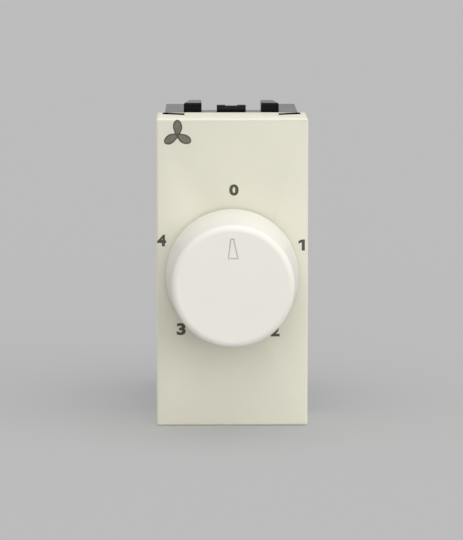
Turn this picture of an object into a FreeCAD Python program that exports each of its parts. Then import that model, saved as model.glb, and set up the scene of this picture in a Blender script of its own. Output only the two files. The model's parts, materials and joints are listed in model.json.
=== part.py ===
import FreeCAD, Part
import math
import os
import Sketcher
from FreeCAD import Vector

# Fan speed control switch, one module wide, in millimetres
# +X is right seen from the front, +Y goes into the wall, +Z is up
# The origin is the middle of the module, in the plane where the mounting grid meets the front plate

SIZES = [
    ("plate_width", 22.0, "front plate, across"),
    ("plate_height", 45.0, "front plate, upright"),
    ("plate_depth", 10.8, "front plate, face to back rim"),
    ("plate_skirt", 1.4, "front plate, wall of the skirt"),
    ("plate_face", 1.8, "front plate, thickness of the face"),
    ("plate_corner", 0.4, "front plate, radius of the four corners of the outline"),
    ("plate_edge", 0.25, "front plate, chamfer round the face"),
    ("plate_rib", 0.9, "front plate, thickness of the cross ribs"),
    ("plate_rib_depth", 1.4, "front plate, height of the cross ribs"),
    ("plate_rib_z", 15.4, "front plate, cross ribs above and below the middle"),
    ("post_half", 1.0, "front plate, half the width of the posts that hold the board down"),
    ("post_inset", 1.5, "front plate, posts from the housing's inner walls"),
    ("rim_notch", 0.3, "front plate, depth of the notches that take the rails' ends"),
    ("window_setback", 1.2, "snap window, from the back rim"),
    ("window_width", 2.1, "snap window, along the depth"),
    ("window_slant", 1.5, "snap window, how much it slants over its length"),
    ("knob_drop", 0.25, "knob axis below the middle of the plate"),
    ("knob_base_radius", 9.67, "knob, radius at the plate"),
    ("knob_front_radius", 8.78, "knob, radius at the front, before rounding"),
    ("knob_reach", 13.0, "knob, from the plate's face to its front"),
    ("knob_gap", 0.35, "knob, gap to the plate's face"),
    ("knob_edge", 1.0, "knob, rounding of the front edge"),
    ("knob_edge_flats", 3, "knob, flats that make up the rounding"),
    ("knob_wall", 1.5, "knob, side wall at the front"),
    ("knob_top", 1.8, "knob, front wall"),
    ("knob_boss", 4.2, "knob, radius of the boss"),
    ("knob_slot", 0.8, "knob, width of the slot that lets the boss grip"),
    ("knob_slot_depth", 4.8, "knob, depth of that slot"),
    ("knob_rib", 0.9, "knob, thickness of the ribs"),
    ("knob_rib_depth", 5.0, "knob, height of the ribs"),
    ("knob_rib_count", 6, "knob, number of ribs"),
    ("mark_tip", 6.85, "pointer mark, tip from the axis"),
    ("mark_length", 2.9, "pointer mark, length"),
    ("mark_width", 1.35, "pointer mark, width at its base"),
    ("mark_line", 0.17, "pointer mark, width of the engraved line"),
    ("mark_depth", 0.2, "pointer mark, depth of the engraved line"),
    ("mark_lean", 2.5, "pointer mark, degrees to the left of upright"),
    ("grip_thickness", 0.5, "knob spring, thickness"),
    ("grip_width", 2.4, "knob spring, width"),
    ("grip_mouth", 2.6, "knob spring, open mouth"),
    ("shaft_radius", 3.0, "spindle, radius"),
    ("shaft_flat", 2.1, "spindle, axis to the flat"),
    ("shaft_reach", 8.5, "spindle, beyond the plate's face"),
    ("shaft_tip", 0.4, "spindle, chamfer of the end"),
    ("pivot_radius", 1.0, "spindle, rear pivot"),
    ("running_gap", 0.05, "clearance of a shaft in its bearing"),
    ("stack_gap", 0.1, "clearance between stacked pieces"),
    ("hole_gap", 0.1, "clearance round a wire or leg in its hole"),
    ("inside_fit", 0.1, "clearance of the switch and the board in the housing"),
    ("wheel_margin", 1.1, "detent wheel, from the sides of the switch"),
    ("disc_thickness", 2.8, "detent wheel, thickness"),
    ("positions", 5, "switch positions, 0 to 4"),
    ("notch_radius", 1.5, "detent wheel, radius of a notch"),
    ("notch_depth", 0.75, "detent wheel, depth of a notch"),
    ("lug_inset", 0.9, "stop lug, from the spindle"),
    ("lug_margin", 0.8, "stop lug, from the edge of the detent wheel"),
    ("lug_height", 1.1, "stop lug, height"),
    ("lug_half", 12.0, "stop lug, half its angle in degrees"),
    ("lug_play", 1.5, "stop lug, degrees left free at each end of the travel"),
    ("stop_lap", 0.3, "end stop, how far it runs into the walls of its track"),
    ("collar_radius", 4.0, "switch cover, bearing collar"),
    ("collar_gap", 0.2, "switch cover, collar in the plate's hole"),
    ("resistor_room", 5.9, "rotary switch, from the housing's upper and lower walls"),
    ("switch_corner", 1.0, "rotary switch, corner radius"),
    ("cover_thickness", 2.6, "switch cover, thickness"),
    ("base_depth", 5.4, "switch base, depth of its cavity"),
    ("base_floor", 1.6, "switch base, floor"),
    ("disc_clearance", 0.35, "switch base, round the detent wheel"),
    ("peg_half", 0.7, "switch base, half the width of the two locating pegs"),
    ("peg_height", 1.2, "switch base, height of the pegs"),
    ("leaf_thickness", 0.35, "detent spring, thickness"),
    ("leaf_width", 2.4, "detent spring, width"),
    ("leaf_inset", 1.0, "detent spring, its ends from the sides of the switch"),
    ("leaf_rise", 1.8, "detent spring, above the detent wheel"),
    ("nose_radius", 1.25, "detent spring, radius of the nose"),
    ("nose_gap", 0.1, "detent spring, nose to the notch"),
    ("brass_sheet", 0.4, "wiper and contact sheet"),
    ("wiper_gap", 0.3, "wiper, its ring inside the common contact"),
    ("wiper_arm", 1.6, "wiper, width of an arm"),
    ("wiper_lift", 0.1, "wiper, toe above the contacts"),
    ("contact_inset", 1.2, "step contacts, centres from the edge of the detent wheel"),
    ("contact_head", 0.9, "step contacts, radius of the head"),
    ("contact_shank", 0.5, "step contacts, radius of the shank"),
    ("common_gap", 0.5, "common contact, from the step contacts"),
    ("common_width", 0.9, "common contact, width of the ring"),
    ("leg_width", 1.0, "common contact, width of the leg"),
    ("solder_tail", 0.6, "wires and legs beyond the board"),
    ("cover_screw_inset", 2.1, "cover screws and pegs, from the sides of the switch"),
    ("cover_screw_radius", 0.8, "cover screws, shank"),
    ("cover_screw_head", 1.5, "cover screws, head radius"),
    ("cover_screw_head_height", 0.9, "cover screws, head height"),
    ("cover_screw_length", 6.0, "cover screws, length under the head"),
    ("pilot_spare", 0.4, "cover screws, hole beyond the tip"),
    ("board_thickness", 1.2, "circuit board, thickness"),
    ("case_setback", 1.2, "housing, its sides inside the plate's sides"),
    ("case_fit", 0.1, "housing, collar inside the plate's skirt"),
    ("case_wall", 1.1, "housing, side wall"),
    ("case_collar", 7.4, "housing, collar forward of the back rim"),
    ("rail_length", 17.2, "housing, length of the rails behind the rim"),
    ("rail_chamfer", 0.8, "housing, chamfer at the rear end of the rails"),
    ("recess_half", 6.9, "housing, half the width of the grid recess"),
    ("recess_depth", 1.0, "housing, depth of the grid recess"),
    ("rear_step", 0.5, "housing, rear part inside the sides of the front part"),
    ("rear_drop", 2.4, "housing, rear part below the plate's top and above its bottom"),
    ("rear_wall", 1.3, "housing, walls of the rear part"),
    ("rear_corner", 1.2, "housing, corner radius of the rear part"),
    ("rear_edge", 0.6, "housing, chamfer round the rear face"),
    ("case_depth", 30.0, "housing, back rim of the plate to the rear face"),
    ("cavity_lap", 1.2, "housing, wall between the wide cavity and the rails' rear ends"),
    ("ledge", 1.5, "housing, corner ledges that carry the board"),
    ("snap_sink", 0.02, "housing, snap lugs below the plate's surface"),
    ("grid_rim", 2.0, "mounting grid, thickness of the rim that the hooks hold"),
    ("hook_inner", 4.4, "hook, inner side from the middle"),
    ("hook_rise", 1.25, "hook, above the plate's top"),
    ("hook_length", 6.0, "hook, along the depth"),
    ("hook_lap", 0.15, "hook, how far its front corner runs into the rail"),
    ("hook_taper", 0.65, "hook, taper of its outer side"),
    ("hook_round", 0.25, "hook, rounded top edges"),
    ("catch_half", 2.15, "catch, half its width"),
    ("catch_rise", 0.9, "catch, above the plate's top"),
    ("catch_land", 1.2, "catch, flat top along the depth"),
    ("catch_ramp", 4.4, "catch, ramp along the depth"),
    ("catch_lip", 0.3, "catch, lip above the slope on its front"),
    ("catch_slope", 0.25, "catch, slope on its front, up and back"),
    ("catch_dip", 0.12, "catch, dip in its top"),
    ("catch_dip_half", 0.9, "catch, half the width of the dip"),
    ("slit", 0.5, "slit round the catch tongue"),
    ("tongue_length", 8.0, "catch tongue, free length"),
    ("block_width", 6.5, "terminal, across"),
    ("block_height", 7.6, "terminal, upright"),
    ("block_depth", 9.0, "terminal, along the wire"),
    ("block_edge", 0.3, "terminal, chamfer"),
    ("wire_radius", 2.0, "terminal, wire hole"),
    ("wire_floor", 3.0, "terminal, wire hole from the block's inner side"),
    ("wire_depth", 8.0, "terminal, depth of the wire hole"),
    ("entry_radius", 2.4, "housing, wire entry"),
    ("entry_funnel", 0.6, "housing, funnel of the wire entry"),
    ("access_radius", 2.3, "housing, screwdriver hole"),
    ("nest_wall", 1.1, "housing, walls of the terminal nests"),
    ("tap_radius", 1.4, "terminal, screw hole"),
    ("tap_setback", 4.0, "terminal, screw from the wire's mouth"),
    ("screw_head", 2.0, "terminal screw, head radius"),
    ("screw_head_height", 1.3, "terminal screw, head height"),
    ("screw_travel", 3.2, "terminal screw, how far it goes in"),
    ("screw_top_gap", 0.2, "terminal screw, head to the housing's inner wall"),
    ("screw_slot", 0.6, "terminal screw, slot"),
    ("strap_thickness", 0.6, "strap, thickness"),
    ("strap_width", 3.0, "strap, width"),
    ("strap_gap", 0.3, "strap, from the housing's side wall"),
    ("strap_end", 2.6, "strap, its end on the terminal from the middle"),
    ("strap_bend", 0.9, "strap, outer radius of the bend"),
    ("cap_gap", 0.3, "capacitors, from the housing's wall and its ledges"),
    ("cap_strap_gap", 0.9, "capacitors, from the straps at their side"),
    ("cap_rear_gap", 3.1, "large capacitor, from the straps behind it"),
    ("cap_small_less", 2.5, "small capacitor, how much shallower it is"),
    ("cap_standoff", 1.0, "capacitors, off the board"),
    ("cap_split", 2.4, "capacitors, their parting height above the middle"),
    ("cap_corner", 0.8, "capacitors, rounding of the four long edges"),
    ("cap_lead", 0.4, "capacitors, lead radius"),
    ("cap_inset", 2.15, "capacitors, leads from the ends"),
    ("resistor_row", 2.75, "resistors, distance between two"),
    ("resistor_lift", 0.3, "resistors, off the board"),
    ("bleed_radius", 1.1, "bleed resistor, radius"),
    ("bleed_length", 6.3, "bleed resistor, length"),
    ("surge_radius", 1.25, "surge resistor, radius"),
    ("surge_length", 7.4, "surge resistor, length"),
    ("resistor_waist", 0.2, "resistors, waist between the end caps"),
    ("resistor_cap", 1.4, "resistors, length of an end cap"),
    ("lead_radius", 0.3, "resistors, lead"),
    ("lead_reach", 1.2, "resistors, lead from the body to its bend"),
]

# Small hidden round things have few sides: wires and thin shanks six, heads and barrels twelve
WIRE_SIDES = 6
ROUND_SIDES = 12
TURN = 360
QUARTER = 90
CORNERS = ((-1, -1), (1, -1), (1, 1), (-1, 1))


class Size:
    """A length or angle that carries its value and its spreadsheet expression."""

    def __init__(self, value, text):
        self.value = value
        self.text = text

    def __add__(self, other):
        other = size(other)
        return Size(self.value + other.value, "(%s + %s)" % (self.text, other.text))

    def __sub__(self, other):
        other = size(other)
        return Size(self.value - other.value, "(%s - %s)" % (self.text, other.text))

    def __mul__(self, other):
        other = size(other)
        return Size(self.value * other.value, "(%s * %s)" % (self.text, other.text))

    def __truediv__(self, other):
        other = size(other)
        return Size(self.value / other.value, "(%s / %s)" % (self.text, other.text))

    def __neg__(self):
        return Size(-self.value, "(0 - %s)" % self.text)

    def __radd__(self, other):
        return size(other) + self

    def __rsub__(self, other):
        return size(other) - self

    def __rmul__(self, other):
        return size(other) * self


def size(number):
    """A plain number as a Size; a Size stays as it is."""
    if isinstance(number, Size):
        return number
    return Size(float(number), "(%.6f)" % number)


def sine(angle):
    angle = size(angle)
    return Size(math.sin(math.radians(angle.value)), "sin(%s)" % angle.text)


def cosine(angle):
    angle = size(angle)
    return Size(math.cos(math.radians(angle.value)), "cos(%s)" % angle.text)


def root(number):
    number = size(number)
    return Size(math.sqrt(number.value), "sqrt(%s)" % number.text)


class Sheet:
    """The spreadsheet's sizes, read by name."""

    def __init__(self, doc):
        cells = doc.addObject("Spreadsheet::Sheet", "Sizes")
        for row, (alias, value, words) in enumerate(SIZES, 1):
            cells.set("A%d" % row, words)
            cells.set("B%d" % row, str(value))
            cells.setAlias("B%d" % row, alias)
            setattr(self, alias, Size(float(value), "Sizes.%s" % alias))


doc = FreeCAD.newDocument("FanSpeedControl")
s = Sheet(doc)
doc.recompute()

# Places along the depth, front to back

face_y = -s.plate_depth
face_back_y = face_y + s.plate_face
cover_front_y = face_back_y + s.stack_gap
cover_back_y = cover_front_y + s.cover_thickness
disc_front_y = cover_back_y + s.stack_gap
disc_back_y = disc_front_y + s.disc_thickness
floor_front_y = cover_back_y + s.base_depth
floor_back_y = floor_front_y + s.base_floor
contact_y = floor_front_y - s.brass_sheet
board_back_y = floor_back_y + s.board_thickness
tail_y = board_back_y + s.solder_tail
knob_front_y = face_y - s.knob_reach
knob_base_y = face_y - s.knob_gap
knob_inside_y = knob_front_y + s.knob_top
shaft_tip_y = face_y - s.shaft_reach
block_back_y = s.case_depth - s.rear_wall - s.stack_gap
block_front_y = block_back_y - s.block_depth
strap_front_y = block_front_y - s.strap_thickness
screw_y = block_back_y - s.tap_setback
grid_y = s.grid_rim + s.stack_gap
cavity_step = s.rail_length - s.cavity_lap
cap_front_y = board_back_y + s.cap_standoff
cap_large_depth = strap_front_y - s.cap_rear_gap - cap_front_y
cap_small_depth = cap_large_depth - s.cap_small_less

# Places of the case across and upright

half_width = s.plate_width / 2
half_height = s.plate_height / 2
case_half = half_width - s.case_setback
collar_half = half_width - s.plate_skirt - s.case_fit
collar_high = half_height - s.plate_skirt - s.case_fit
inside_half = collar_half - s.case_wall
inside_high = collar_high - s.case_wall
recess_z = half_height - s.recess_depth
rear_half = case_half - s.rear_step
rear_high = half_height - s.rear_drop
rear_inside_half = rear_half - s.rear_wall
rear_inside_high = rear_high - s.rear_wall

# Places of what it holds, across and upright

switch_half = inside_half - s.inside_fit
switch_high = inside_high - s.resistor_room
board_half = inside_half - s.inside_fit
board_high = inside_high - s.inside_fit
screw_x = switch_half - s.cover_screw_inset
screw_z = switch_high - s.cover_screw_inset
screw_reserve = s.screw_travel + s.stack_gap + s.screw_head_height + s.screw_top_gap
block_outer = rear_inside_high - screw_reserve
block_inner = block_outer - s.block_height
wire_z = block_inner + s.wire_floor
strap_x = rear_inside_half - s.strap_gap
cap_left = s.cap_gap - inside_half
cap_right = strap_x - s.strap_thickness - s.cap_strap_gap
cap_top = inside_high - s.ledge - s.cap_gap
large_span = (-cap_top, s.cap_split - s.stack_gap)
small_span = (s.cap_split + s.stack_gap, cap_top)
resistor_z = (switch_high + board_high) / 2

# Radii of the rotary switch and its angles

step_angle = size(TURN) / s.positions
disc_radius = switch_half - s.wheel_margin
lug_inner = s.shaft_radius + s.lug_inset
lug_outer = disc_radius - s.lug_margin
leaf_half = switch_half - s.leaf_inset
leaf_height = disc_radius + s.leaf_rise
contact_circle = disc_radius - s.contact_inset
common_outer = contact_circle - s.contact_head - s.common_gap
common_inner = common_outer - s.common_width
common_middle = common_outer - s.common_width / 2
wiper_ring = common_inner - s.wiper_gap
stop_half = step_angle / 2 - s.lug_half - s.lug_play


def bind(target, prop, amount):
    target.setExpression(prop, size(amount).text)


def new_body(label):
    body = doc.addObject("PartDesign::Body", label)
    body.Label = label
    return body


def origin_feature(body, role):
    return [feature for feature in body.Origin.OriginFeatures if feature.Role == role][0]


def sketch(body, plane, level=0.0):
    """A sketch on one of the body's own planes, moved along that plane's normal to a level.

    XZ sketches see the piece from the front and their level is a depth along +Y.
    """
    drawing = body.newObject("Sketcher::SketchObject", "%sSketch" % plane)
    drawing.AttachmentSupport = (origin_feature(body, "%s_Plane" % plane), [""])
    drawing.MapMode = "FlatFace"
    level = size(level)
    bind(drawing, "AttachmentOffset.Base.z", -level if plane == "XZ" else level)
    return drawing


def pin_point(drawing, geometry, point, x, y):
    """Fixes a point of a line or circle at bound distances from the sketch's origin."""
    for kind, amount in (("DistanceX", size(x)), ("DistanceY", size(y))):
        rule = Sketcher.Constraint(kind, -1, 1, geometry, point, amount.value)
        number = drawing.addConstraint(rule)
        drawing.setExpression("Constraints[%d]" % number, amount.text)


def polygon(drawing, points):
    """A closed outline through the given corners."""
    points = [(size(x), size(y)) for x, y in points]
    first = drawing.GeometryCount
    count = len(points)
    for index in range(count):
        start = points[index]
        end = points[(index + 1) % count]
        line = Part.LineSegment(
            Vector(start[0].value, start[1].value, 0), Vector(end[0].value, end[1].value, 0)
        )
        drawing.addGeometry(line)
    for index in range(count):
        following = first + (index + 1) % count
        drawing.addConstraint(Sketcher.Constraint("Coincident", first + index, 2, following, 1))
    for index, (x, y) in enumerate(points):
        pin_point(drawing, first + index, 1, x, y)


def rectangle(drawing, left, bottom, right, top):
    polygon(drawing, [(left, bottom), (right, bottom), (right, top), (left, top)])


def centred_rectangle(drawing, half_across, half_up):
    half_across = size(half_across)
    half_up = size(half_up)
    rectangle(drawing, -half_across, -half_up, half_across, half_up)


def circle(drawing, x, y, radius):
    x = size(x)
    y = size(y)
    radius = size(radius)
    centre = Vector(x.value, y.value, 0)
    geometry = drawing.addGeometry(Part.Circle(centre, Vector(0, 0, 1), radius.value))
    number = drawing.addConstraint(Sketcher.Constraint("Radius", geometry, radius.value))
    drawing.setExpression("Constraints[%d]" % number, radius.text)
    pin_point(drawing, geometry, 3, x, y)


def ring_of_corners(drawing, x, y, radius, sides):
    """A regular outline for a small shank, wire or hole, with one corner towards +x."""
    corners = []
    for corner in range(sides):
        angle = TURN / sides * corner
        corners.append((x + size(radius) * cosine(angle), y + size(radius) * sine(angle)))
    polygon(drawing, corners)


def sector(drawing, inner, outer, middle, half_angle):
    """A four-sided sector; angles run clockwise from straight up, seen from the front."""
    corners = []
    for radius, side in ((inner, -1), (outer, -1), (outer, 1), (inner, 1)):
        angle = size(middle) + size(half_angle) * side
        corners.append((size(radius) * sine(angle), size(radius) * cosine(angle)))
    polygon(drawing, corners)


def d_outline(drawing, radius, flat):
    """A circle with its upper part cut off flat."""
    radius = size(radius)
    flat = size(flat)
    half_chord = math.sqrt(radius.value ** 2 - flat.value ** 2)
    lift = math.asin(flat.value / radius.value)
    round_part = Part.Circle(Vector(0, 0, 0), Vector(0, 0, 1), radius.value)
    arc = drawing.addGeometry(Part.ArcOfCircle(round_part, math.pi - lift, 2 * math.pi + lift))
    chord = Part.LineSegment(
        Vector(half_chord, flat.value, 0), Vector(-half_chord, flat.value, 0)
    )
    line = drawing.addGeometry(chord)
    drawing.addConstraint(Sketcher.Constraint("Coincident", arc, 3, -1, 1))
    drawing.addConstraint(Sketcher.Constraint("Coincident", arc, 2, line, 1))
    drawing.addConstraint(Sketcher.Constraint("Coincident", line, 2, arc, 1))
    drawing.addConstraint(Sketcher.Constraint("Horizontal", line))
    number = drawing.addConstraint(Sketcher.Constraint("Radius", arc, radius.value))
    drawing.setExpression("Constraints[%d]" % number, radius.text)
    rule = Sketcher.Constraint("DistanceY", -1, 1, line, 1, flat.value)
    number = drawing.addConstraint(rule)
    drawing.setExpression("Constraints[%d]" % number, flat.text)


def pad(body, drawing, length, rearward=False):
    """Adds material; an XZ sketch grows forwards unless rearward is set."""
    feature = body.newObject("PartDesign::Pad", "Pad")
    feature.Profile = drawing
    bind(feature, "Length", length)
    feature.Reversed = rearward
    return feature


def pad_both_ways(body, drawing, length):
    feature = pad(body, drawing, length)
    feature.SideType = "Symmetric"
    return feature


def pocket(body, drawing, length, forward=False):
    """Removes material against the sketch's normal, or along it if forward is set."""
    feature = body.newObject("PartDesign::Pocket", "Pocket")
    feature.Profile = drawing
    bind(feature, "Length", length)
    feature.Reversed = forward
    return feature


def pocket_through(body, drawing):
    feature = body.newObject("PartDesign::Pocket", "PocketThrough")
    feature.Profile = drawing
    feature.Type = "ThroughAll"
    feature.SideType = "Symmetric"
    return feature


def revolve(body, drawing, axis):
    feature = body.newObject("PartDesign::Revolution", "Revolution")
    feature.Profile = drawing
    feature.ReferenceAxis = (origin_feature(body, "%s_Axis" % axis), [""])
    feature.Angle = TURN
    return feature


def polar(body, feature, count):
    """Repeats a feature evenly round the Y axis."""
    pattern = body.newObject("PartDesign::PolarPattern", "PolarPattern")
    pattern.Originals = [feature]
    pattern.Axis = (origin_feature(body, "Y_Axis"), [""])
    pattern.Angle = TURN
    bind(pattern, "Occurrences", count)
    body.Tip = pattern
    return pattern


def dress(body, kind, base, amount, test):
    """A fillet or chamfer on those edges of the base feature that pass a test."""
    doc.recompute()
    names = ["Edge%d" % n for n, edge in enumerate(base.Shape.Edges, 1) if test(edge)]
    if not names:
        raise RuntimeError("%s: no edge found for a %s" % (body.Label, kind))
    feature = body.newObject("PartDesign::%s" % kind, kind)
    feature.Base = (base, names)
    bind(feature, "Radius" if kind == "Fillet" else "Size", amount)
    return feature


def near(first, second):
    return abs(size(first).value - size(second).value) < 1e-4


def along(edge, direction):
    """True for a straight edge parallel to x, y or z."""
    if not isinstance(edge.Curve, Part.Line):
        return False
    span = edge.Vertexes[-1].Point - edge.Vertexes[0].Point
    return near(abs(getattr(span, direction)), edge.Length)


def lies_at(edge, direction, place):
    """True for an edge that lies in the plane where x, y or z has the given value."""
    low = getattr(edge.BoundBox, "%sMin" % direction.upper())
    high = getattr(edge.BoundBox, "%sMax" % direction.upper())
    return near(low, place) and near(high, place)


def is_round(edge, radius):
    return isinstance(edge.Curve, Part.Circle) and near(edge.Curve.Radius, radius)


def lower_to_axis(body):
    """Sets a piece that was drawn round the Y axis onto the knob's own axis."""
    bind(body, "Placement.Base.z", -s.knob_drop)


def window_outline(side, shrink):
    """The slanted snap window, seen from above, on the left (-1) or right (1)."""
    inner = s.recess_half + shrink
    outer = half_width - s.plate_skirt - shrink
    rear = -s.window_setback - shrink
    front = -s.window_setback - s.window_width + shrink
    return [
        (outer * side, rear),
        (outer * side, front),
        (inner * side, front - s.window_slant),
        (inner * side, rear - s.window_slant),
    ]


def rail_corners(drawing, play, low, high):
    """The four corner areas beside the grid recess, wider by a play on each side."""
    inner = s.recess_half - play
    outer = case_half + play
    for across, upright in CORNERS:
        polygon(drawing, [
            (inner * across, low * upright),
            (outer * across, low * upright),
            (outer * across, high * upright),
            (inner * across, high * upright),
        ])


def front_plate():
    body = new_body("front_plate")
    block = sketch(body, "XZ")
    centred_rectangle(block, half_width, half_height)
    shape = pad(body, block, s.plate_depth)
    shape = dress(body, "Fillet", shape, s.plate_corner, lambda edge: along(edge, "y"))
    dress(body, "Chamfer", shape, s.plate_edge, lambda edge: lies_at(edge, "y", face_y))

    cavity = sketch(body, "XZ")
    centred_rectangle(cavity, half_width - s.plate_skirt, half_height - s.plate_skirt)
    pocket(body, cavity, s.plate_depth - s.plate_face, forward=True)

    hole = sketch(body, "XZ")
    circle(hole, 0, -s.knob_drop, s.collar_radius + s.collar_gap)
    pocket_through(body, hole)

    windows = sketch(body, "XY")
    for side in (-1, 1):
        polygon(windows, window_outline(side, 0.0))
    pocket_through(body, windows)

    ribs = sketch(body, "XZ", face_back_y)
    for side in (-1, 1):
        middle = s.plate_rib_z * side
        half_rib = s.plate_rib / 2
        rib_end = half_width - s.plate_skirt / 2
        rectangle(ribs, -rib_end, middle - half_rib, rib_end, middle + half_rib)
    pad(body, ribs, s.plate_rib_depth, rearward=True)

    posts = sketch(body, "XZ", face_back_y)
    for across, upright in CORNERS:
        x = (inside_half - s.post_inset) * across
        z = (inside_high - s.post_inset) * upright
        rectangle(posts, x - s.post_half, z - s.post_half, x + s.post_half, z + s.post_half)
    pad(body, posts, floor_back_y - face_back_y - s.stack_gap, rearward=True)

    # The ends of the housing's rails sit in four notches of the rim
    notches = sketch(body, "XZ")
    rail_corners(notches, s.stack_gap, collar_high, half_height + s.stack_gap)
    pocket(body, notches, s.rim_notch, forward=True)
    return body


def mark_outline(inset):
    """The pointer's slim triangle, drawn in from its edge by an inset, leaning with the mark."""
    half = s.mark_width / 2
    side = root(half * half + s.mark_length * s.mark_length)
    tip = s.mark_tip - inset * side / half
    foot = s.mark_tip - s.mark_length + inset
    half_foot = (tip - foot) * half / s.mark_length
    corners = []
    for across, up in ((-half_foot, foot), (half_foot, foot), (size(0), tip)):
        lean = -s.mark_lean
        x = across * cosine(lean) + up * sine(lean)
        z = up * cosine(lean) - across * sine(lean)
        corners.append((x, z))
    return corners


def knob_edge_outline():
    """The rounded front edge in the knob's section, as a few flats along a quarter round."""
    points = []
    flats = int(s.knob_edge_flats.value)
    for step in range(flats + 1):
        angle = QUARTER / flats * step
        back = s.knob_edge - s.knob_edge * cosine(angle)
        out = s.knob_edge * sine(angle)
        points.append((knob_front_y + back, s.knob_front_radius - s.knob_edge + out))
    return points


def knob():
    body = new_body("knob")
    section = sketch(body, "YZ")
    hollow = s.knob_front_radius - s.knob_wall
    polygon(section, [(knob_front_y, 0)] + knob_edge_outline() + [
        (knob_base_y, s.knob_base_radius),
        (knob_base_y, hollow),
        (knob_inside_y, hollow),
        (knob_inside_y, s.knob_boss),
        (knob_base_y, s.knob_boss),
        (knob_base_y, 0),
    ])
    revolve(body, section, "Y")

    bore = sketch(body, "XZ", knob_base_y)
    d_outline(bore, s.shaft_radius + s.running_gap, s.shaft_flat + s.running_gap)
    depth = knob_base_y - shaft_tip_y + s.stack_gap
    pocket(body, bore, depth, forward=True)

    slot = sketch(body, "XZ", knob_base_y)
    centred_rectangle(slot, s.knob_boss + s.running_gap, s.knob_slot / 2)
    pocket(body, slot, s.knob_slot_depth, forward=True)

    rib = sketch(body, "XZ", knob_inside_y)
    rib_outer = hollow + s.knob_wall / 4
    rib_inner = s.knob_boss - s.knob_wall / 4
    rectangle(rib, -s.knob_rib / 2, rib_inner, s.knob_rib / 2, rib_outer)
    shape = pad(body, rib, s.knob_rib_depth, rearward=True)
    polar(body, shape, s.knob_rib_count)

    mark = sketch(body, "XZ", knob_front_y)
    polygon(mark, mark_outline(size(0)))
    polygon(mark, mark_outline(s.mark_line))
    pocket(body, mark, s.mark_depth)
    lower_to_axis(body)
    return body


def knob_spring():
    body = new_body("knob_spring")
    inner = s.knob_boss + s.running_gap
    ring_y = knob_base_y - s.grip_width / 2
    ring = sketch(body, "XZ", ring_y)
    circle(ring, 0, 0, inner + s.grip_thickness)
    circle(ring, 0, 0, inner)
    pad(body, ring, s.grip_width)
    mouth = sketch(body, "XZ", ring_y)
    rectangle(mouth, -s.grip_mouth / 2, 0, s.grip_mouth / 2, inner + s.grip_thickness * 2)
    pocket(body, mouth, s.grip_width, forward=True)
    lower_to_axis(body)
    return body


def rotor():
    body = new_body("rotor")
    section = sketch(body, "YZ")
    polygon(section, [
        (shaft_tip_y, 0),
        (shaft_tip_y, s.shaft_radius - s.shaft_tip),
        (shaft_tip_y + s.shaft_tip, s.shaft_radius),
        (disc_front_y, s.shaft_radius),
        (disc_front_y, disc_radius),
        (disc_back_y, disc_radius),
        (disc_back_y, 0),
    ])
    revolve(body, section, "Y")

    pivot = sketch(body, "XZ", disc_back_y)
    ring_of_corners(pivot, size(0), size(0), s.pivot_radius, ROUND_SIDES)
    pad(body, pivot, floor_back_y - s.stack_gap - disc_back_y, rearward=True)

    flat = sketch(body, "XZ", shaft_tip_y)
    rectangle(flat, -s.shaft_radius, s.shaft_flat, s.shaft_radius, s.shaft_radius)
    pocket(body, flat, s.shaft_reach)

    notch = sketch(body, "XZ", disc_back_y)
    circle(notch, 0, disc_radius - s.notch_depth + s.notch_radius, s.notch_radius)
    shape = pocket(body, notch, s.disc_thickness, forward=True)
    polar(body, shape, s.positions)

    lug = sketch(body, "XZ", disc_front_y)
    sector(lug, lug_inner, lug_outer, 0, s.lug_half)
    pad(body, lug, s.lug_height)
    lower_to_axis(body)
    return body


def switch_cover():
    body = new_body("switch_cover")
    plate = sketch(body, "XZ", cover_back_y)
    centred_rectangle(plate, switch_half, switch_high)
    shape = pad(body, plate, s.cover_thickness)
    dress(body, "Fillet", shape, s.switch_corner, lambda edge: along(edge, "y"))

    collar = sketch(body, "XZ", cover_front_y)
    circle(collar, 0, 0, s.collar_radius)
    pad(body, collar, s.plate_face)

    bore = sketch(body, "XZ")
    circle(bore, 0, 0, s.shaft_radius + s.running_gap)
    pocket_through(body, bore)

    track = sketch(body, "XZ", cover_back_y)
    track_outer = lug_outer + s.disc_clearance
    track_inner = lug_inner - s.disc_clearance
    circle(track, 0, 0, track_outer)
    circle(track, 0, 0, track_inner)
    track_depth = s.lug_height + s.stack_gap
    pocket(body, track, track_depth, forward=True)

    stop = sketch(body, "XZ", cover_back_y)
    sector(stop, track_inner - s.stop_lap, track_outer + s.stop_lap, -step_angle / 2, stop_half)
    pad(body, stop, track_depth)

    heads = sketch(body, "XZ", cover_front_y)
    holes = sketch(body, "XZ", cover_front_y)
    peg_holes = sketch(body, "XZ", cover_back_y)
    for side in (-1, 1):
        x = screw_x * side
        ring_of_corners(heads, x, -screw_z, s.cover_screw_head + s.hole_gap, ROUND_SIDES)
        ring_of_corners(holes, x, -screw_z, s.cover_screw_radius + s.hole_gap, ROUND_SIDES)
        peg_outline(peg_holes, x, s.peg_half + s.running_gap)
    pocket(body, heads, s.cover_screw_head_height + s.stack_gap)
    pocket(body, holes, s.cover_thickness)
    pocket(body, peg_holes, s.peg_height + s.stack_gap, forward=True)
    lower_to_axis(body)
    return body


def peg_outline(drawing, x, half):
    """One of the two square pegs that locate the cover above the wheel."""
    rectangle(drawing, x - half, screw_z - half, x + half, screw_z + half)


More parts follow.
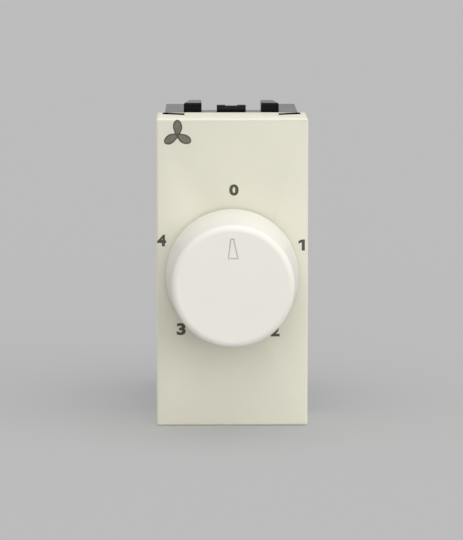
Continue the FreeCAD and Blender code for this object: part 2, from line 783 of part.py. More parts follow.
def switch_base():
    body = new_body("switch_base")
    outline = sketch(body, "XZ", floor_back_y)
    centred_rectangle(outline, switch_half, switch_high)
    shape = pad(body, outline, s.base_depth + s.base_floor)
    dress(body, "Fillet", shape, s.switch_corner, lambda edge: along(edge, "y"))

    well = sketch(body, "XZ", cover_back_y)
    circle(well, 0, 0, disc_radius + s.disc_clearance)
    pocket(body, well, s.base_depth)

    # The spring lies in a slot over the wheel and its ends rest on the slot's two shoulders
    spring_room = sketch(body, "XZ", cover_back_y)
    shoulder = leaf_height - s.leaf_thickness
    half_span = leaf_half + s.stack_gap
    room_half = half_span - s.nose_radius
    slot_top = leaf_height + s.stack_gap + s.notch_depth
    polygon(spring_room, [
        (-room_half, 0),
        (room_half, 0),
        (room_half, shoulder),
        (half_span, shoulder),
        (half_span, slot_top),
        (-half_span, slot_top),
        (-half_span, shoulder),
        (-room_half, shoulder),
    ])
    pocket(body, spring_room, s.disc_thickness + s.stack_gap * 2)

    pegs = sketch(body, "XZ", cover_back_y)
    for side in (-1, 1):
        peg_outline(pegs, screw_x * side, s.peg_half)
    pad(body, pegs, s.peg_height)

    pivot = sketch(body, "XZ", floor_front_y)
    ring_of_corners(pivot, size(0), size(0), s.pivot_radius + s.running_gap, ROUND_SIDES)
    pocket(body, pivot, s.base_floor)
    shanks = sketch(body, "XZ", floor_front_y)
    for x, z in contact_places():
        ring_of_corners(shanks, x, z, s.contact_shank + s.hole_gap, WIRE_SIDES)
    leg_outline(shanks, size(0), s.hole_gap)
    pocket(body, shanks, s.base_floor)

    pilots = sketch(body, "XZ", cover_back_y)
    for side in (-1, 1):
        place = screw_x * side
        ring_of_corners(
            pilots, place, -screw_z, s.cover_screw_radius + s.running_gap, ROUND_SIDES
        )
    reach = s.cover_screw_head_height + s.cover_screw_length - s.cover_thickness
    pocket(body, pilots, s.stack_gap + reach + s.pilot_spare)
    lower_to_axis(body)
    return body


def contact_places():
    """Where the step contacts stand round the axis, clockwise from the off position."""
    steps = range(1, int(s.positions.value))
    angles = [step_angle * step for step in steps]
    return [(contact_circle * sine(angle), contact_circle * cosine(angle)) for angle in angles]


def leg_outline(drawing, axis_z, gap):
    """The common contact's leg, below the axis in the middle of the ring."""
    half_leg = s.leg_width / 2 + gap
    half_sheet = s.brass_sheet / 2 + gap
    middle = axis_z - common_middle
    rectangle(drawing, -half_leg, middle - half_sheet, half_leg, middle + half_sheet)


def detent_spring():
    body = new_body("detent_spring")
    leaf = sketch(body, "XZ", disc_back_y)
    under = leaf_height - s.leaf_thickness
    rectangle(leaf, -leaf_half, under, leaf_half, leaf_height)
    pad(body, leaf, s.leaf_width)
    nose = sketch(body, "XZ", disc_back_y)
    nose_z = disc_radius - s.notch_depth + s.nose_gap + s.nose_radius
    circle(nose, 0, nose_z, s.nose_radius)
    pad(body, nose, s.leaf_width)
    hollow = sketch(body, "XZ", disc_back_y)
    circle(hollow, 0, nose_z, s.nose_radius - s.leaf_thickness)
    pocket(body, hollow, s.leaf_width, forward=True)
    crest = sketch(body, "XZ", disc_back_y)
    crest_top = leaf_height + s.nose_radius
    rectangle(crest, -s.nose_radius, leaf_height, s.nose_radius, crest_top)
    pocket(body, crest, s.leaf_width, forward=True)
    lower_to_axis(body)
    return body


def wiper():
    body = new_body("wiper")
    back = disc_back_y + s.brass_sheet
    toe = contact_y - s.wiper_lift
    ring = sketch(body, "XZ", back)
    circle(ring, 0, 0, wiper_ring)
    ring_of_corners(ring, size(0), size(0), s.pivot_radius + s.hole_gap, ROUND_SIDES)
    pad(body, ring, s.brass_sheet)

    # The upper arm sweeps the step contacts and the lower arm the common contact
    arm_start = wiper_ring - s.brass_sheet
    for side, foot in ((1, contact_circle), (-1, common_middle)):
        arm = sketch(body, "YZ")
        polygon(arm, [
            (disc_back_y, arm_start * side),
            (disc_back_y, (foot - s.brass_sheet) * side),
            (toe, (foot + s.brass_sheet) * side),
            (toe, (foot - s.brass_sheet / 2) * side),
            (back, (foot - s.brass_sheet * 2) * side),
            (back, arm_start * side),
        ])
        pad_both_ways(body, arm, s.wiper_arm)
    lower_to_axis(body)
    return body


def common_contact():
    body = new_body("common_contact")
    ring = sketch(body, "XZ", floor_front_y)
    circle(ring, 0, 0, common_outer)
    circle(ring, 0, 0, common_inner)
    pad(body, ring, s.brass_sheet)
    leg = sketch(body, "XZ", floor_front_y)
    leg_outline(leg, size(0), size(0))
    pad(body, leg, tail_y - floor_front_y, rearward=True)
    lower_to_axis(body)
    return body


def prism(name, sides, radius, length, place, axis):
    """A small many-sided bar from a place along +X, +Y or +Z."""
    turns = {
        "x": (Vector(0, 1, 0), QUARTER),
        "y": (Vector(1, 0, 0), -QUARTER),
        "z": (Vector(0, 0, 1), 0),
    }
    solid = doc.addObject("Part::Prism", name)
    solid.Polygon = sides
    bind(solid, "Circumradius", radius)
    bind(solid, "Height", length)
    solid.Placement = FreeCAD.Placement(Vector(), FreeCAD.Rotation(*turns[axis]))
    for direction, amount in zip("xyz", place):
        bind(solid, "Placement.Base.%s" % direction, amount)
    return solid


def fused(name, solids):
    result = doc.addObject("Part::MultiFuse", name)
    result.Shapes = solids
    return result


def grouped(label, solids):
    """Separate solids that share one node."""
    result = doc.addObject("Part::Compound", label)
    result.Links = solids
    result.Label = label
    return result


def step_contacts():
    rivets = []
    for x, z in contact_places():
        place = (x, contact_y, z - s.knob_drop)
        head = prism("ContactHead", ROUND_SIDES, s.contact_head, s.brass_sheet, place, "y")
        reach = tail_y - contact_y
        shank = prism("ContactShank", WIRE_SIDES, s.contact_shank, reach, place, "y")
        rivets.append(fused("StepContact", [head, shank]))
    return grouped("step_contacts", rivets)


def cover_screws():
    screws = []
    top_y = cover_front_y + s.stack_gap
    under_y = top_y + s.cover_screw_head_height
    z = -screw_z - s.knob_drop
    for side in (-1, 1):
        x = screw_x * side
        head = prism(
            "CoverScrewHead", ROUND_SIDES, s.cover_screw_head,
            s.cover_screw_head_height, (x, top_y, z), "y",
        )
        shank = prism(
            "CoverScrewShank", ROUND_SIDES, s.cover_screw_radius,
            s.cover_screw_length, (x, under_y, z), "y",
        )
        screws.append(fused("CoverScrew", [head, shank]))
    return grouped("cover_screws", screws)


def capacitor_leads(span):
    """Where a capacitor's two leads stand, halfway up its span."""
    low, high = span
    middle = (low + high) / 2
    return [(cap_left + s.cap_inset, middle), (cap_right - s.cap_inset, middle)]


def capacitor(label, span, depth):
    body = new_body(label)
    block = sketch(body, "XZ", cap_front_y)
    low, high = span
    rectangle(block, cap_left, low, cap_right, high)
    shape = pad(body, block, depth, rearward=True)
    dress(body, "Fillet", shape, s.cap_corner, lambda edge: along(edge, "y"))
    leads = sketch(body, "XZ", cap_front_y)
    for x, z in capacitor_leads(span):
        ring_of_corners(leads, x, z, s.cap_lead, WIRE_SIDES)
    pad(body, leads, s.cap_standoff + s.board_thickness - s.stack_gap)
    return body


def resistor_rows(side):
    """Heights of the two resistors above (1) or below (-1) the rotary switch."""
    return [resistor_z * side + s.resistor_row / 2 * row for row in (-1, 1)]


def resistor_pair(label, side, radius, length):
    """Two dog-bone resistors whose leads bend down into the board."""
    solids = []
    y = floor_back_y - s.resistor_lift - radius
    half = length / 2
    lead_x = half + s.lead_reach
    leg_y = y - s.lead_radius
    waist = radius - s.resistor_waist
    for z in resistor_rows(side):
        pieces = [
            prism("Waist", ROUND_SIDES, waist, length, (-half, y, z), "x"),
            prism("Wire", WIRE_SIDES, s.lead_radius, lead_x * 2, (-lead_x, y, z), "x"),
        ]
        for start in (-half, half - s.resistor_cap):
            pieces.append(
                prism("EndCap", ROUND_SIDES, radius, s.resistor_cap, (start, y, z), "x")
            )
        for x in (-lead_x, lead_x):
            pieces.append(
                prism("Leg", WIRE_SIDES, s.lead_radius, tail_y - leg_y, (x, leg_y, z), "y")
            )
        solids.append(fused("Resistor", pieces))
    return grouped(label, solids)


def circuit_board():
    body = new_body("circuit_board")
    outline = sketch(body, "XZ", board_back_y)
    centred_rectangle(outline, board_half, board_high)
    pad(body, outline, s.board_thickness)

    switch_holes = sketch(body, "XZ", board_back_y)
    shank = s.contact_shank + s.hole_gap
    for x, z in contact_places():
        ring_of_corners(switch_holes, x, z - s.knob_drop, shank, WIRE_SIDES)
    leg_outline(switch_holes, -s.knob_drop, s.hole_gap)
    pocket(body, switch_holes, s.board_thickness, forward=True)

    capacitor_holes = sketch(body, "XZ", board_back_y)
    lead = s.cap_lead + s.hole_gap
    for x, z in capacitor_leads(large_span) + capacitor_leads(small_span):
        ring_of_corners(capacitor_holes, x, z, lead, WIRE_SIDES)
    pocket(body, capacitor_holes, s.board_thickness, forward=True)

    resistor_holes = sketch(body, "XZ", board_back_y)
    wire = s.lead_radius + s.hole_gap
    for side, length in ((1, s.bleed_length), (-1, s.surge_length)):
        for z in resistor_rows(side):
            for end in (-1, 1):
                x = (length / 2 + s.lead_reach) * end
                ring_of_corners(resistor_holes, x, z, wire, WIRE_SIDES)
    pocket(body, resistor_holes, s.board_thickness, forward=True)

    strap_slots = sketch(body, "XZ", board_back_y)
    for side in (-1, 1):
        half_strap = s.strap_width / 2 + s.hole_gap
        inner = strap_x - s.strap_thickness - s.hole_gap
        outer = strap_x + s.hole_gap
        middle = wire_z * side
        rectangle(strap_slots, inner, middle - half_strap, outer, middle + half_strap)
    pocket(body, strap_slots, s.board_thickness, forward=True)
    return body


def terminal(label, side):
    """A brass pillar terminal, above (1) or below (-1) the middle of the module."""
    body = new_body(label)
    block = sketch(body, "XZ", block_back_y)
    half_block = s.block_width / 2
    low, high = sorted((block_inner * side, block_outer * side), key=lambda end: end.value)
    rectangle(block, -half_block, low, half_block, high)
    shape = pad(body, block, s.block_depth)
    dress(body, "Chamfer", shape, s.block_edge, lambda edge: along(edge, "y"))
    wire = sketch(body, "XZ", block_back_y)
    circle(wire, 0, wire_z * side, s.wire_radius)
    pocket(body, wire, s.wire_depth, forward=True)
    tap = sketch(body, "XY", wire_z * side)
    circle(tap, 0, screw_y, s.tap_radius)
    pocket(body, tap, block_outer - wire_z, forward=side > 0)
    return body


def terminal_screw(label, side):
    """A slotted screw, backed out so that the wire hole is clear."""
    body = new_body(label)
    tip_z = wire_z + s.wire_radius + s.stack_gap
    head_z = block_outer + s.screw_travel + s.stack_gap
    shank = sketch(body, "XY", tip_z * side)
    shank_radius = s.tap_radius - s.running_gap
    circle(shank, 0, screw_y, shank_radius)
    pad(body, shank, head_z - tip_z, rearward=side < 0)
    head = sketch(body, "XY", head_z * side)
    circle(head, 0, screw_y, s.screw_head)
    pad(body, head, s.screw_head_height, rearward=side < 0)
    top_z = head_z + s.screw_head_height
    slot = sketch(body, "XY", top_z * side)
    half_slot = s.screw_slot / 2
    rectangle(slot, -s.screw_head, screw_y - half_slot, s.screw_head, screw_y + half_slot)
    pocket(body, slot, s.screw_slot, forward=side < 0)
    return body


def strap(label, side):
    """A bent brass link from a terminal's front face along the case to the board."""
    body = new_body(label)
    middle = wire_z * side
    bent = sketch(body, "XY", middle)
    inner = strap_x - s.strap_thickness
    board_y = floor_back_y + s.stack_gap
    polygon(bent, [
        (-s.strap_end, block_front_y),
        (-s.strap_end, strap_front_y),
        (inner, strap_front_y),
        (inner, board_y),
        (strap_x, board_y),
        (strap_x, block_front_y),
    ])
    shape = pad_both_ways(body, bent, s.strap_width)
    inner_bend = s.strap_bend - s.strap_thickness
    shape = dress(
        body, "Fillet", shape, s.strap_bend,
        lambda edge: lies_at(edge, "x", strap_x) and lies_at(edge, "y", block_front_y),
    )
    dress(
        body, "Fillet", shape, inner_bend,
        lambda edge: lies_at(edge, "x", inner) and lies_at(edge, "y", strap_front_y),
    )
    return body


def hook_outline(side):
    """A fixed hook seen from above; its outer side tapers towards the rear."""
    rear = grid_y + s.hook_length
    outer = s.recess_half + s.hook_lap
    return [
        (s.hook_inner * side, grid_y),
        (outer * side, grid_y),
        ((outer - s.hook_taper) * side, rear),
        (s.hook_inner * side, rear),
    ]


def housing():
    body = new_body("housing")

    # Front part with its two rails at the top and two at the bottom, then the narrower rear part
    outline = sketch(body, "XZ")
    corners = []
    for across, upright in CORNERS:
        outer = (case_half * across, half_height * upright)
        edge = (s.recess_half * across, half_height * upright)
        floor = (s.recess_half * across, recess_z * upright)
        corners += [outer, edge, floor] if across == upright else [floor, edge, outer]
    polygon(outline, corners)
    shape = pad(body, outline, s.rail_length, rearward=True)
    dress(
        body, "Chamfer", shape, s.rail_chamfer,
        lambda edge: lies_at(edge, "y", s.rail_length)
        and near(abs(edge.CenterOfMass.z), half_height),
    )

    # The rails run on a little into the notches of the plate's rim
    noses = sketch(body, "XZ")
    rail_corners(noses, 0, collar_high, half_height)
    pad(body, noses, s.rim_notch - s.stack_gap)

    rear = sketch(body, "XZ", s.case_depth)
    centred_rectangle(rear, rear_half, rear_high)
    shape = pad(body, rear, s.case_depth - cavity_step)
    shape = dress(
        body, "Fillet", shape, s.rear_corner,
        lambda edge: along(edge, "y") and near(abs(edge.CenterOfMass.z), rear_high),
    )
    dress(body, "Chamfer", shape, s.rear_edge, lambda edge: lies_at(edge, "y", s.case_depth))

    collar = sketch(body, "XZ")
    centred_rectangle(collar, collar_half, collar_high)
    pad(body, collar, s.case_collar)

    # The rim of the mounting grid lies in a groove in front of the hooks
    groove = sketch(body, "XZ")
    for side in (-1, 1):
        low, high = sorted((collar_high * side, half_height * side), key=lambda end: end.value)
        rectangle(groove, -s.recess_half, low, s.recess_half, high)
    pocket(body, groove, grid_y)

    cavity = sketch(body, "XZ", -s.case_collar)
    centred_rectangle(cavity, inside_half, inside_high)
    pocket(body, cavity, s.case_collar + cavity_step)
    rear_cavity = sketch(body, "XZ", cavity_step)
    centred_rectangle(rear_cavity, rear_inside_half, rear_inside_high)
    pocket(body, rear_cavity, s.case_depth - s.rear_wall - cavity_step)

    ledges = sketch(body, "XZ", board_back_y)
    for across, upright in CORNERS:
        x_in = (inside_half - s.ledge) * across
        z_in = (inside_high - s.ledge) * upright
        x_out = (inside_half + s.case_wall / 2) * across
        z_out = (inside_high + s.case_wall / 2) * upright
        polygon(ledges, [(x_in, z_in), (x_out, z_in), (x_out, z_out), (x_in, z_out)])
    pad(body, ledges, cavity_step - board_back_y, rearward=True)

    # Terminal nests grow forwards from the rear wall
    nests = sketch(body, "XZ", s.case_depth - s.rear_wall / 2)
    for side in (-1, 1):
        nest_in = s.block_width / 2 + s.stack_gap
        nest_out = nest_in + s.nest_wall
        shelf = (block_inner - s.stack_gap) * side
        under = (block_inner - s.stack_gap - s.nest_wall) * side
        roof = (rear_high - s.rear_wall / 2) * side
        polygon(nests, [
            (-nest_out, roof),
            (-nest_out, under),
            (nest_out, under),
            (nest_out, roof),
            (nest_in, roof),
            (nest_in, shelf),
            (-nest_in, shelf),
            (-nest_in, roof),
        ])
    pad(body, nests, s.rear_wall / 2 + s.stack_gap + s.block_depth)

    # Hooks stand up at the top and lie level with the plate's edge at the bottom
    for side, rise in ((1, s.hook_rise), (-1, size(0))):
        hooks = sketch(body, "XY", (recess_z - s.case_wall / 2) * side)
        for across in (-1, 1):
            polygon(hooks, hook_outline(across))
        height = s.recess_depth + s.case_wall / 2 + rise
        shape = pad(body, hooks, height, rearward=side < 0)
        if side > 0:
            hook_top = half_height + s.hook_rise
            dress(body, "Fillet", shape, s.hook_round, lambda edge: lies_at(edge, "z", hook_top))

    # The catch sits on a sprung tongue that a U-shaped slit frees from the top wall
    slit_front = grid_y - s.slit
    slit_rear = slit_front + s.tongue_length
    slit_half = s.catch_half + s.slit
    around = sketch(body, "XY", half_height)
    polygon(around, [
        (-slit_half, slit_rear),
        (-slit_half, slit_front - s.slit),
        (slit_half, slit_front - s.slit),
        (slit_half, slit_rear),
        (s.catch_half, slit_rear),
        (s.catch_half, slit_front),
        (-s.catch_half, slit_front),
        (-s.catch_half, slit_rear),
    ])
    pocket(body, around, half_height - inside_high + s.stack_gap)
    tooth = sketch(body, "YZ")
    catch_top = half_height + s.catch_rise
    root_z = recess_z - s.case_wall / 2
    ramp_end = grid_y + s.catch_land + s.catch_ramp
    polygon(tooth, [
        (grid_y, root_z),
        (grid_y, catch_top - s.catch_lip - s.catch_slope),
        (grid_y + s.catch_slope, catch_top - s.catch_lip),
        (grid_y + s.catch_slope, catch_top),
        (grid_y + s.catch_land, catch_top),
        (ramp_end, recess_z),
        (ramp_end, root_z),
    ])
    pad_both_ways(body, tooth, s.catch_half * 2)
    dip = sketch(body, "YZ")
    rectangle(dip, 0, catch_top - s.catch_dip, ramp_end, catch_top + s.catch_dip)
    cut = pocket(body, dip, s.catch_dip_half * 2)
    cut.SideType = "Symmetric"

    # Snap lugs on the collar reach into the plate's slanted windows
    for side in (-1, 1):
        lug_root = collar_high - s.case_wall / 2
        lugs = sketch(body, "XY", lug_root * side)
        for across in (-1, 1):
            polygon(lugs, window_outline(across, s.stack_gap))
        pad(body, lugs, half_height - s.snap_sink - lug_root, rearward=side < 0)

    # Wire entries in the rear face and screwdriver holes in the top and bottom
    entries = sketch(body, "XZ", s.case_depth)
    for side in (-1, 1):
        circle(entries, 0, wire_z * side, s.entry_radius)
    shape = pocket(body, entries, s.rear_wall + s.stack_gap, forward=True)
    dress(
        body, "Chamfer", shape, s.entry_funnel,
        lambda edge: is_round(edge, s.entry_radius) and lies_at(edge, "y", s.case_depth),
    )
    for side in (-1, 1):
        access = sketch(body, "XY", rear_high * side)
        circle(access, 0, screw_y, s.access_radius)
        pocket(body, access, s.rear_wall + s.stack_gap, forward=side < 0)
    return body


PIECES = [
    front_plate(),
    knob(),
    knob_spring(),
    housing(),
    rotor(),
    detent_spring(),
    wiper(),
    switch_cover(),
    switch_base(),
    common_contact(),
    step_contacts(),
    cover_screws(),
    circuit_board(),
    capacitor("capacitor_large", large_span, cap_large_depth),
    capacitor("capacitor_small", small_span, cap_small_depth),
    resistor_pair("bleed_resistors", 1, s.bleed_radius, s.bleed_length),
    resistor_pair("surge_resistors", -1, s.surge_radius, s.surge_length),
    terminal("line_terminal", -1),
    terminal("load_terminal", 1),
    terminal_screw("line_screw", -1),
    terminal_screw("load_screw", 1),
    strap("line_strap", -1),
    strap("load_strap", 1),
]

doc.recompute()

for item in doc.Objects:
    if "Invalid" in item.State or "Error" in item.State:
        raise RuntimeError("%s did not build: %s" % (item.Name, item.State))

os.makedirs("parts", exist_ok=True)
for piece in PIECES:
    shape = piece.Shape
    if shape.isNull() or not shape.isValid() or not shape.Solids:
        raise RuntimeError("%s has no valid solid" % piece.Label)
    shape.exportStep("parts/%s.step" % piece.Label)
    box = shape.BoundBox
    print("%-16s %2d solid %9.2f mm3  x %.2f %.2f  y %.2f %.2f  z %.2f %.2f" % (
        piece.Label, len(shape.Solids), shape.Volume,
        box.XMin, box.XMax, box.YMin, box.YMax, box.ZMin, box.ZMax,
    ))
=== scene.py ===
import json
import math

import bmesh
import bpy
from bpy.props import FloatProperty, FloatVectorProperty, IntProperty, PointerProperty
from mathutils import Matrix, Vector


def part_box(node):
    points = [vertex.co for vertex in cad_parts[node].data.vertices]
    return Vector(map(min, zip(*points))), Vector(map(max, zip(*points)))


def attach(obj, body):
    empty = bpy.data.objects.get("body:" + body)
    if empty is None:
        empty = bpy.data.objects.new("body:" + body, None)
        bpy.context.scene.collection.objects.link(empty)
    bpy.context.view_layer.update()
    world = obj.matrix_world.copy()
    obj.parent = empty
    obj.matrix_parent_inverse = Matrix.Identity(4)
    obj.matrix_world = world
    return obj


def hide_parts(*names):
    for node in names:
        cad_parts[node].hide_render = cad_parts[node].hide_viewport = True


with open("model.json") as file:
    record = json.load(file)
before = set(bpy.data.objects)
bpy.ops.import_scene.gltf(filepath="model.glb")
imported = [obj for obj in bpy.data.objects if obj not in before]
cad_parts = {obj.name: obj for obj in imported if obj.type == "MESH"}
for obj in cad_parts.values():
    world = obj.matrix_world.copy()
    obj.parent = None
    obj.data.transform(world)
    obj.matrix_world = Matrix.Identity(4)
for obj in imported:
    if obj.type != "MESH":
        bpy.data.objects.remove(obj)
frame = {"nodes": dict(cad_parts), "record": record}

bl_info = {
    "name": "Fan speed control finish",
    "version": (1, 0, 0),
    "blender": (4, 5, 0),
    "location": "3D View > Sidebar > Fan Control",
    "description": "Finishes, print and finer shapes for a one-module fan speed control",
    "category": "Object",
}

# Everything is in metres, in the frame of the CAD model: +X right, +Y into the wall, +Z up

MM = 0.001
TINY = 0.000001
QUARTER = math.pi / 2
SMOOTH_BELOW = math.radians(35)
SHARP_ABOVE = math.radians(40)
FLAT_WITHIN = math.radians(0.2)

# Roundings of the mouldings and the terminals
PLATE_EDGE = 0.06 * MM
CASE_EDGE = 0.08 * MM
BRASS_EDGE = 0.12 * MM

# Print is cut into strips along the plate's rounded edge, so that it can follow the rounding
EDGE_STRIPS = 9
EDGE_STEP = 0.04 * MM

# How finely the round shapes are made
KNOB_SIDES = 160
KNOB_EDGE_FLATS = 12
BORE_SIDES = 64
SCREW_SIDES = 48
THREAD_STEPS = 28
RESISTOR_SIDES = 40
PETAL_SIDES = 40
JOINT_SIDES = 24
LEAD_SIDES = 20
BEND_STEPS = 8

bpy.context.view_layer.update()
plate_low, plate_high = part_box("front_plate")
knob_low, knob_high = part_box("knob")
board_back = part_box("circuit_board")[1].y

FACE_Y = plate_low.y
KNOB_AXIS = Vector((0, 0, (knob_low.z + knob_high.z) / 2))
AXES = {
    "X": (Vector((1, 0, 0)), Vector((0, 0, 1))),
    "Y": (Vector((0, 1, 0)), Vector((0, 0, 1))),
    "Z": (Vector((0, 0, 1)), Vector((1, 0, 0))),
}


def length(name, words, millimetres):
    return FloatProperty(
        name=name, description=words, default=millimetres * MM, unit="LENGTH", precision=5
    )


def degrees(name, words, value):
    return FloatProperty(
        name=name, description=words, default=math.radians(value), subtype="ANGLE"
    )


def plain(name, words, value):
    return FloatProperty(name=name, description=words, default=value)


def colour(name, words, value):
    return FloatVectorProperty(
        name=name, description=words, default=value, size=3, subtype="COLOR", min=0, max=1
    )


class KnobSizes(bpy.types.PropertyGroup):
    """Sizes of the knob that is seen."""

    front_radius: length("Front radius", "Radius of the knob's front before its rounding", 8.78)
    base_radius: length("Base radius", "Radius of the knob at the plate", 9.67)
    edge: length("Front rounding", "Radius of the rounded front edge", 1.0)
    rim: length("Rim rounding", "Rounding of the rim at the plate", 0.12)
    wall: length("Side wall", "Thickness of the knob's side wall", 1.5)
    top: length("Front wall", "Thickness of the knob's front wall", 1.8)
    boss: length("Boss radius", "Radius of the boss that grips the spindle", 4.2)
    bore: length("Bore radius", "Radius of the hole for the spindle", 3.05)
    bore_flat: length("Bore flat", "Distance from the axis to the flat of the hole", 2.15)
    bore_end: length("Bore end", "From the knob's front to the end of the hole", 4.4)
    slot: length("Slot width", "Width of the slot that lets the boss grip", 0.8)
    slot_depth: length("Slot depth", "Depth of that slot", 4.8)
    rib: length("Rib thickness", "Thickness of the ribs between boss and wall", 0.9)
    rib_depth: length("Rib depth", "How far the ribs stand from the front wall", 5.0)
    ribs: IntProperty(
        name="Ribs", description="Number of ribs inside the knob", default=6, min=2
    )
    mark_tip: length("Mark top", "Top of the pointer mark from the axis", 6.89)
    mark_length: length("Mark length", "Length of the pointer mark", 2.94)
    mark_width: length("Mark width", "Width of the pointer mark at its foot", 1.56)
    mark_top: length("Mark top width", "Width of the pointer mark at its top", 0.54)
    mark_lean: length("Mark lean", "How far the top of the mark stands to the left", 0.15)
    mark_line: length("Mark line", "Width of the engraved line", 0.18)
    mark_depth: length("Mark depth", "Depth of the engraved line", 0.28)


class WindowSizes(bpy.types.PropertyGroup):
    """Sizes of the two snap windows in the plate's top, seen from above."""

    inner: length("Inner end", "From the middle to a window's inner end", 6.9)
    outer: length("Outer end", "From the middle to a window's outer end", 10.15)
    rear: length("Rear edge", "From the plate's back rim to a window", 0.65)
    across: length("Width", "Width of a window, from front to back", 3.2)
    slant: length("Slant", "How far a window leans forwards over its length", 1.5)
    depth: length("Depth", "Depth of the widened top of a window", 0.6)
    gap: length("Gap", "Gap between a window and the black lug in it", 0.06)
    sink: length("Sink", "Lug below the plate's top", 0.02)


class PrintSizes(bpy.types.PropertyGroup):
    """Sizes of the print on the plate."""

    weight: plain("Weight", "How much the strokes are thickened", 0.045)
    stroke: length("Stroke", "Width of the strokes of the number 1", 0.42)
    flag: length("Flag", "How far the flag of the number 1 reaches out", 0.44)
    ink: length("Ink", "Thickness of the ink", 0.015)
    petal_length: length("Petal length", "Fan symbol, from its middle to a petal's tip", 2.2)
    petal_width: length("Petal width", "Fan symbol, width of a petal", 1.4)
    petal_root: length("Petal root", "Fan symbol, how far a petal runs past its middle", 0.1)
    petal_line: length("Petal outline", "Fan symbol, width of the darker outline", 0.2)


class PartSizes(bpy.types.PropertyGroup):
    """Sizes of the small parts inside."""

    screw_core: length("Screw core", "Terminal screw, radius at the root of its thread", 1.12)
    screw_thread: length("Thread", "Terminal screw, height of the thread", 0.22)
    screw_pitch: length("Pitch", "Terminal screw, distance from thread to thread", 0.5)
    screw_head: length("Screw head", "Terminal screw, radius of the head", 2.0)
    screw_head_height: length("Head height", "Terminal screw, height of the head", 1.3)
    screw_slot: length("Screw slot", "Terminal screw, width of the slot", 0.6)
    cover_core: length("Cover screw core", "Cover screw, radius at the root of its thread", 0.6)
    cover_thread: length("Cover screw thread", "Cover screw, height of the thread", 0.2)
    cover_pitch: length("Cover screw pitch", "Cover screw, from thread to thread", 0.75)
    cover_head: length("Cover screw head", "Cover screw, radius of the head", 1.5)
    cover_head_height: length("Cover head height", "Cover screw, height of the head", 0.9)
    cover_slot: length("Cover screw slot", "Cover screw, width of its cross recess", 0.4)
    bleed_radius: length("Bleed resistor", "Radius of a bleed resistor", 1.1)
    bleed_length: length("Bleed length", "Length of a bleed resistor", 6.3)
    surge_radius: length("Surge resistor", "Radius of a surge resistor", 1.25)
    surge_length: length("Surge length", "Length of a surge resistor", 7.4)
    waist: length("Resistor waist", "How far a resistor draws in between its ends", 0.2)
    row: length("Resistor row", "Distance between the two resistors of a pair", 2.75)
    lead: length("Lead", "Radius of a resistor's lead", 0.3)
    lead_reach: length("Lead reach", "From a resistor's body to its leg", 1.2)
    cap_corner: length("Capacitor corner", "Rounding of a capacitor's long edges", 0.8)
    cap_standoff: length("Capacitor standoff", "A capacitor's body off the board", 1.0)
    cap_wall: length("Capacitor wall", "Rim round a capacitor's potting", 0.5)
    cap_recess: length("Potting recess", "Potting below a capacitor's rim", 0.3)
    cap_lead: length("Capacitor lead", "Radius of a capacitor's lead", 0.4)
    cap_inset: length("Capacitor lead inset", "A capacitor's leads from its ends", 2.15)
    contact_head: length("Contact head", "From a step contact's middle to its edge", 0.9)
    solder: length("Solder joint", "Radius of a solder joint", 0.7)
    track_width: length("Track width", "Width of a copper track", 1.1)
    track_rise: length("Track rise", "Height of a copper track", 0.05)


class Finishes(bpy.types.PropertyGroup):
    """Colours of the parts."""

    plate: colour("Plate", "Ivory of the front plate", (0.74, 0.72, 0.61))
    knob: colour("Knob", "Paler ivory of the knob", (0.81, 0.79, 0.725))
    case: colour("Case", "Black of the housing", (0.0045, 0.0043, 0.0045))
    ink: colour("Ink", "Dark olive grey of the print", (0.058, 0.054, 0.036))
    ink_light: colour("Pale ink", "Paler ink inside the symbol's petals", (0.13, 0.122, 0.092))


class StageSizes(bpy.types.PropertyGroup):
    """The camera, the floor and the light."""

    distance: length("Camera distance", "From the camera to the plate's face", 438.0)
    elevation: degrees("Elevation", "Camera above the horizon", 7.58)
    azimuth: degrees("Azimuth", "Camera to the right of straight on", -0.6)
    aim_x: length("Aim across", "Where the camera looks, across", -0.1)
    aim_z: length("Aim up", "Where the camera looks, upright", 0.46)
    lens: plain("Lens", "Focal length in mm", 201.3)
    floor_size: length("Floor size", "Side of the square floor", 6000.0)
    top_power: plain("Top light", "Strength of the light from above", 1.05)
    front_power: plain("Front light", "Strength of the light from the front", 1.07)
    side_power: plain("Side light", "Strength of the light from the right", 0.88)
    spread: degrees("Spread", "How wide and soft the three lights are", 60)
    sky_power: plain("Sky", "Strength of the even light", 0.66)
    clean: plain("Clean floor", "Share of the floor's shadow taken off", 0.5)
    floor: colour("Floor", "Grey of the floor", (0.43, 0.43, 0.43))
    backdrop: colour("Backdrop", "Grey behind everything", (0.509, 0.509, 0.509))


# Modelling helpers


def start_alone():
    """Selects nothing, in object mode, so that the next operator works on its own piece."""
    if bpy.context.mode != "OBJECT":
        bpy.ops.object.mode_set(mode="OBJECT")
    bpy.ops.object.select_all(action="DESELECT")


def take(piece):
    """Makes one piece the only one selected, and active."""
    start_alone()
    piece.select_set(True)
    bpy.context.view_layer.objects.active = piece


def edit(piece):
    take(piece)
    bpy.ops.object.mode_set(mode="EDIT")
    bpy.ops.mesh.select_all(action="SELECT")


def pick_vertices(piece, test):
    """Selects, in edit mode, the vertices whose place passes a test."""
    bpy.ops.mesh.select_mode(type="VERT")
    mesh = bmesh.from_edit_mesh(piece.data)
    for vertex in mesh.verts:
        vertex.select_set(test(vertex.co))
    mesh.select_flush_mode()
    bmesh.update_edit_mesh(piece.data)


def leave_edit():
    """Merges what lies together, turns the faces outwards and goes back to object mode."""
    bpy.ops.mesh.select_all(action="SELECT")
    bpy.ops.mesh.remove_doubles(threshold=TINY)
    bpy.ops.mesh.normals_make_consistent(inside=False)
    bpy.ops.object.mode_set(mode="OBJECT")


def set_in_place(piece):
    """Moves a piece's place, turn and scale into its mesh."""
    take(piece)
    bpy.ops.object.transform_apply(location=True, rotation=True, scale=True)
    return piece


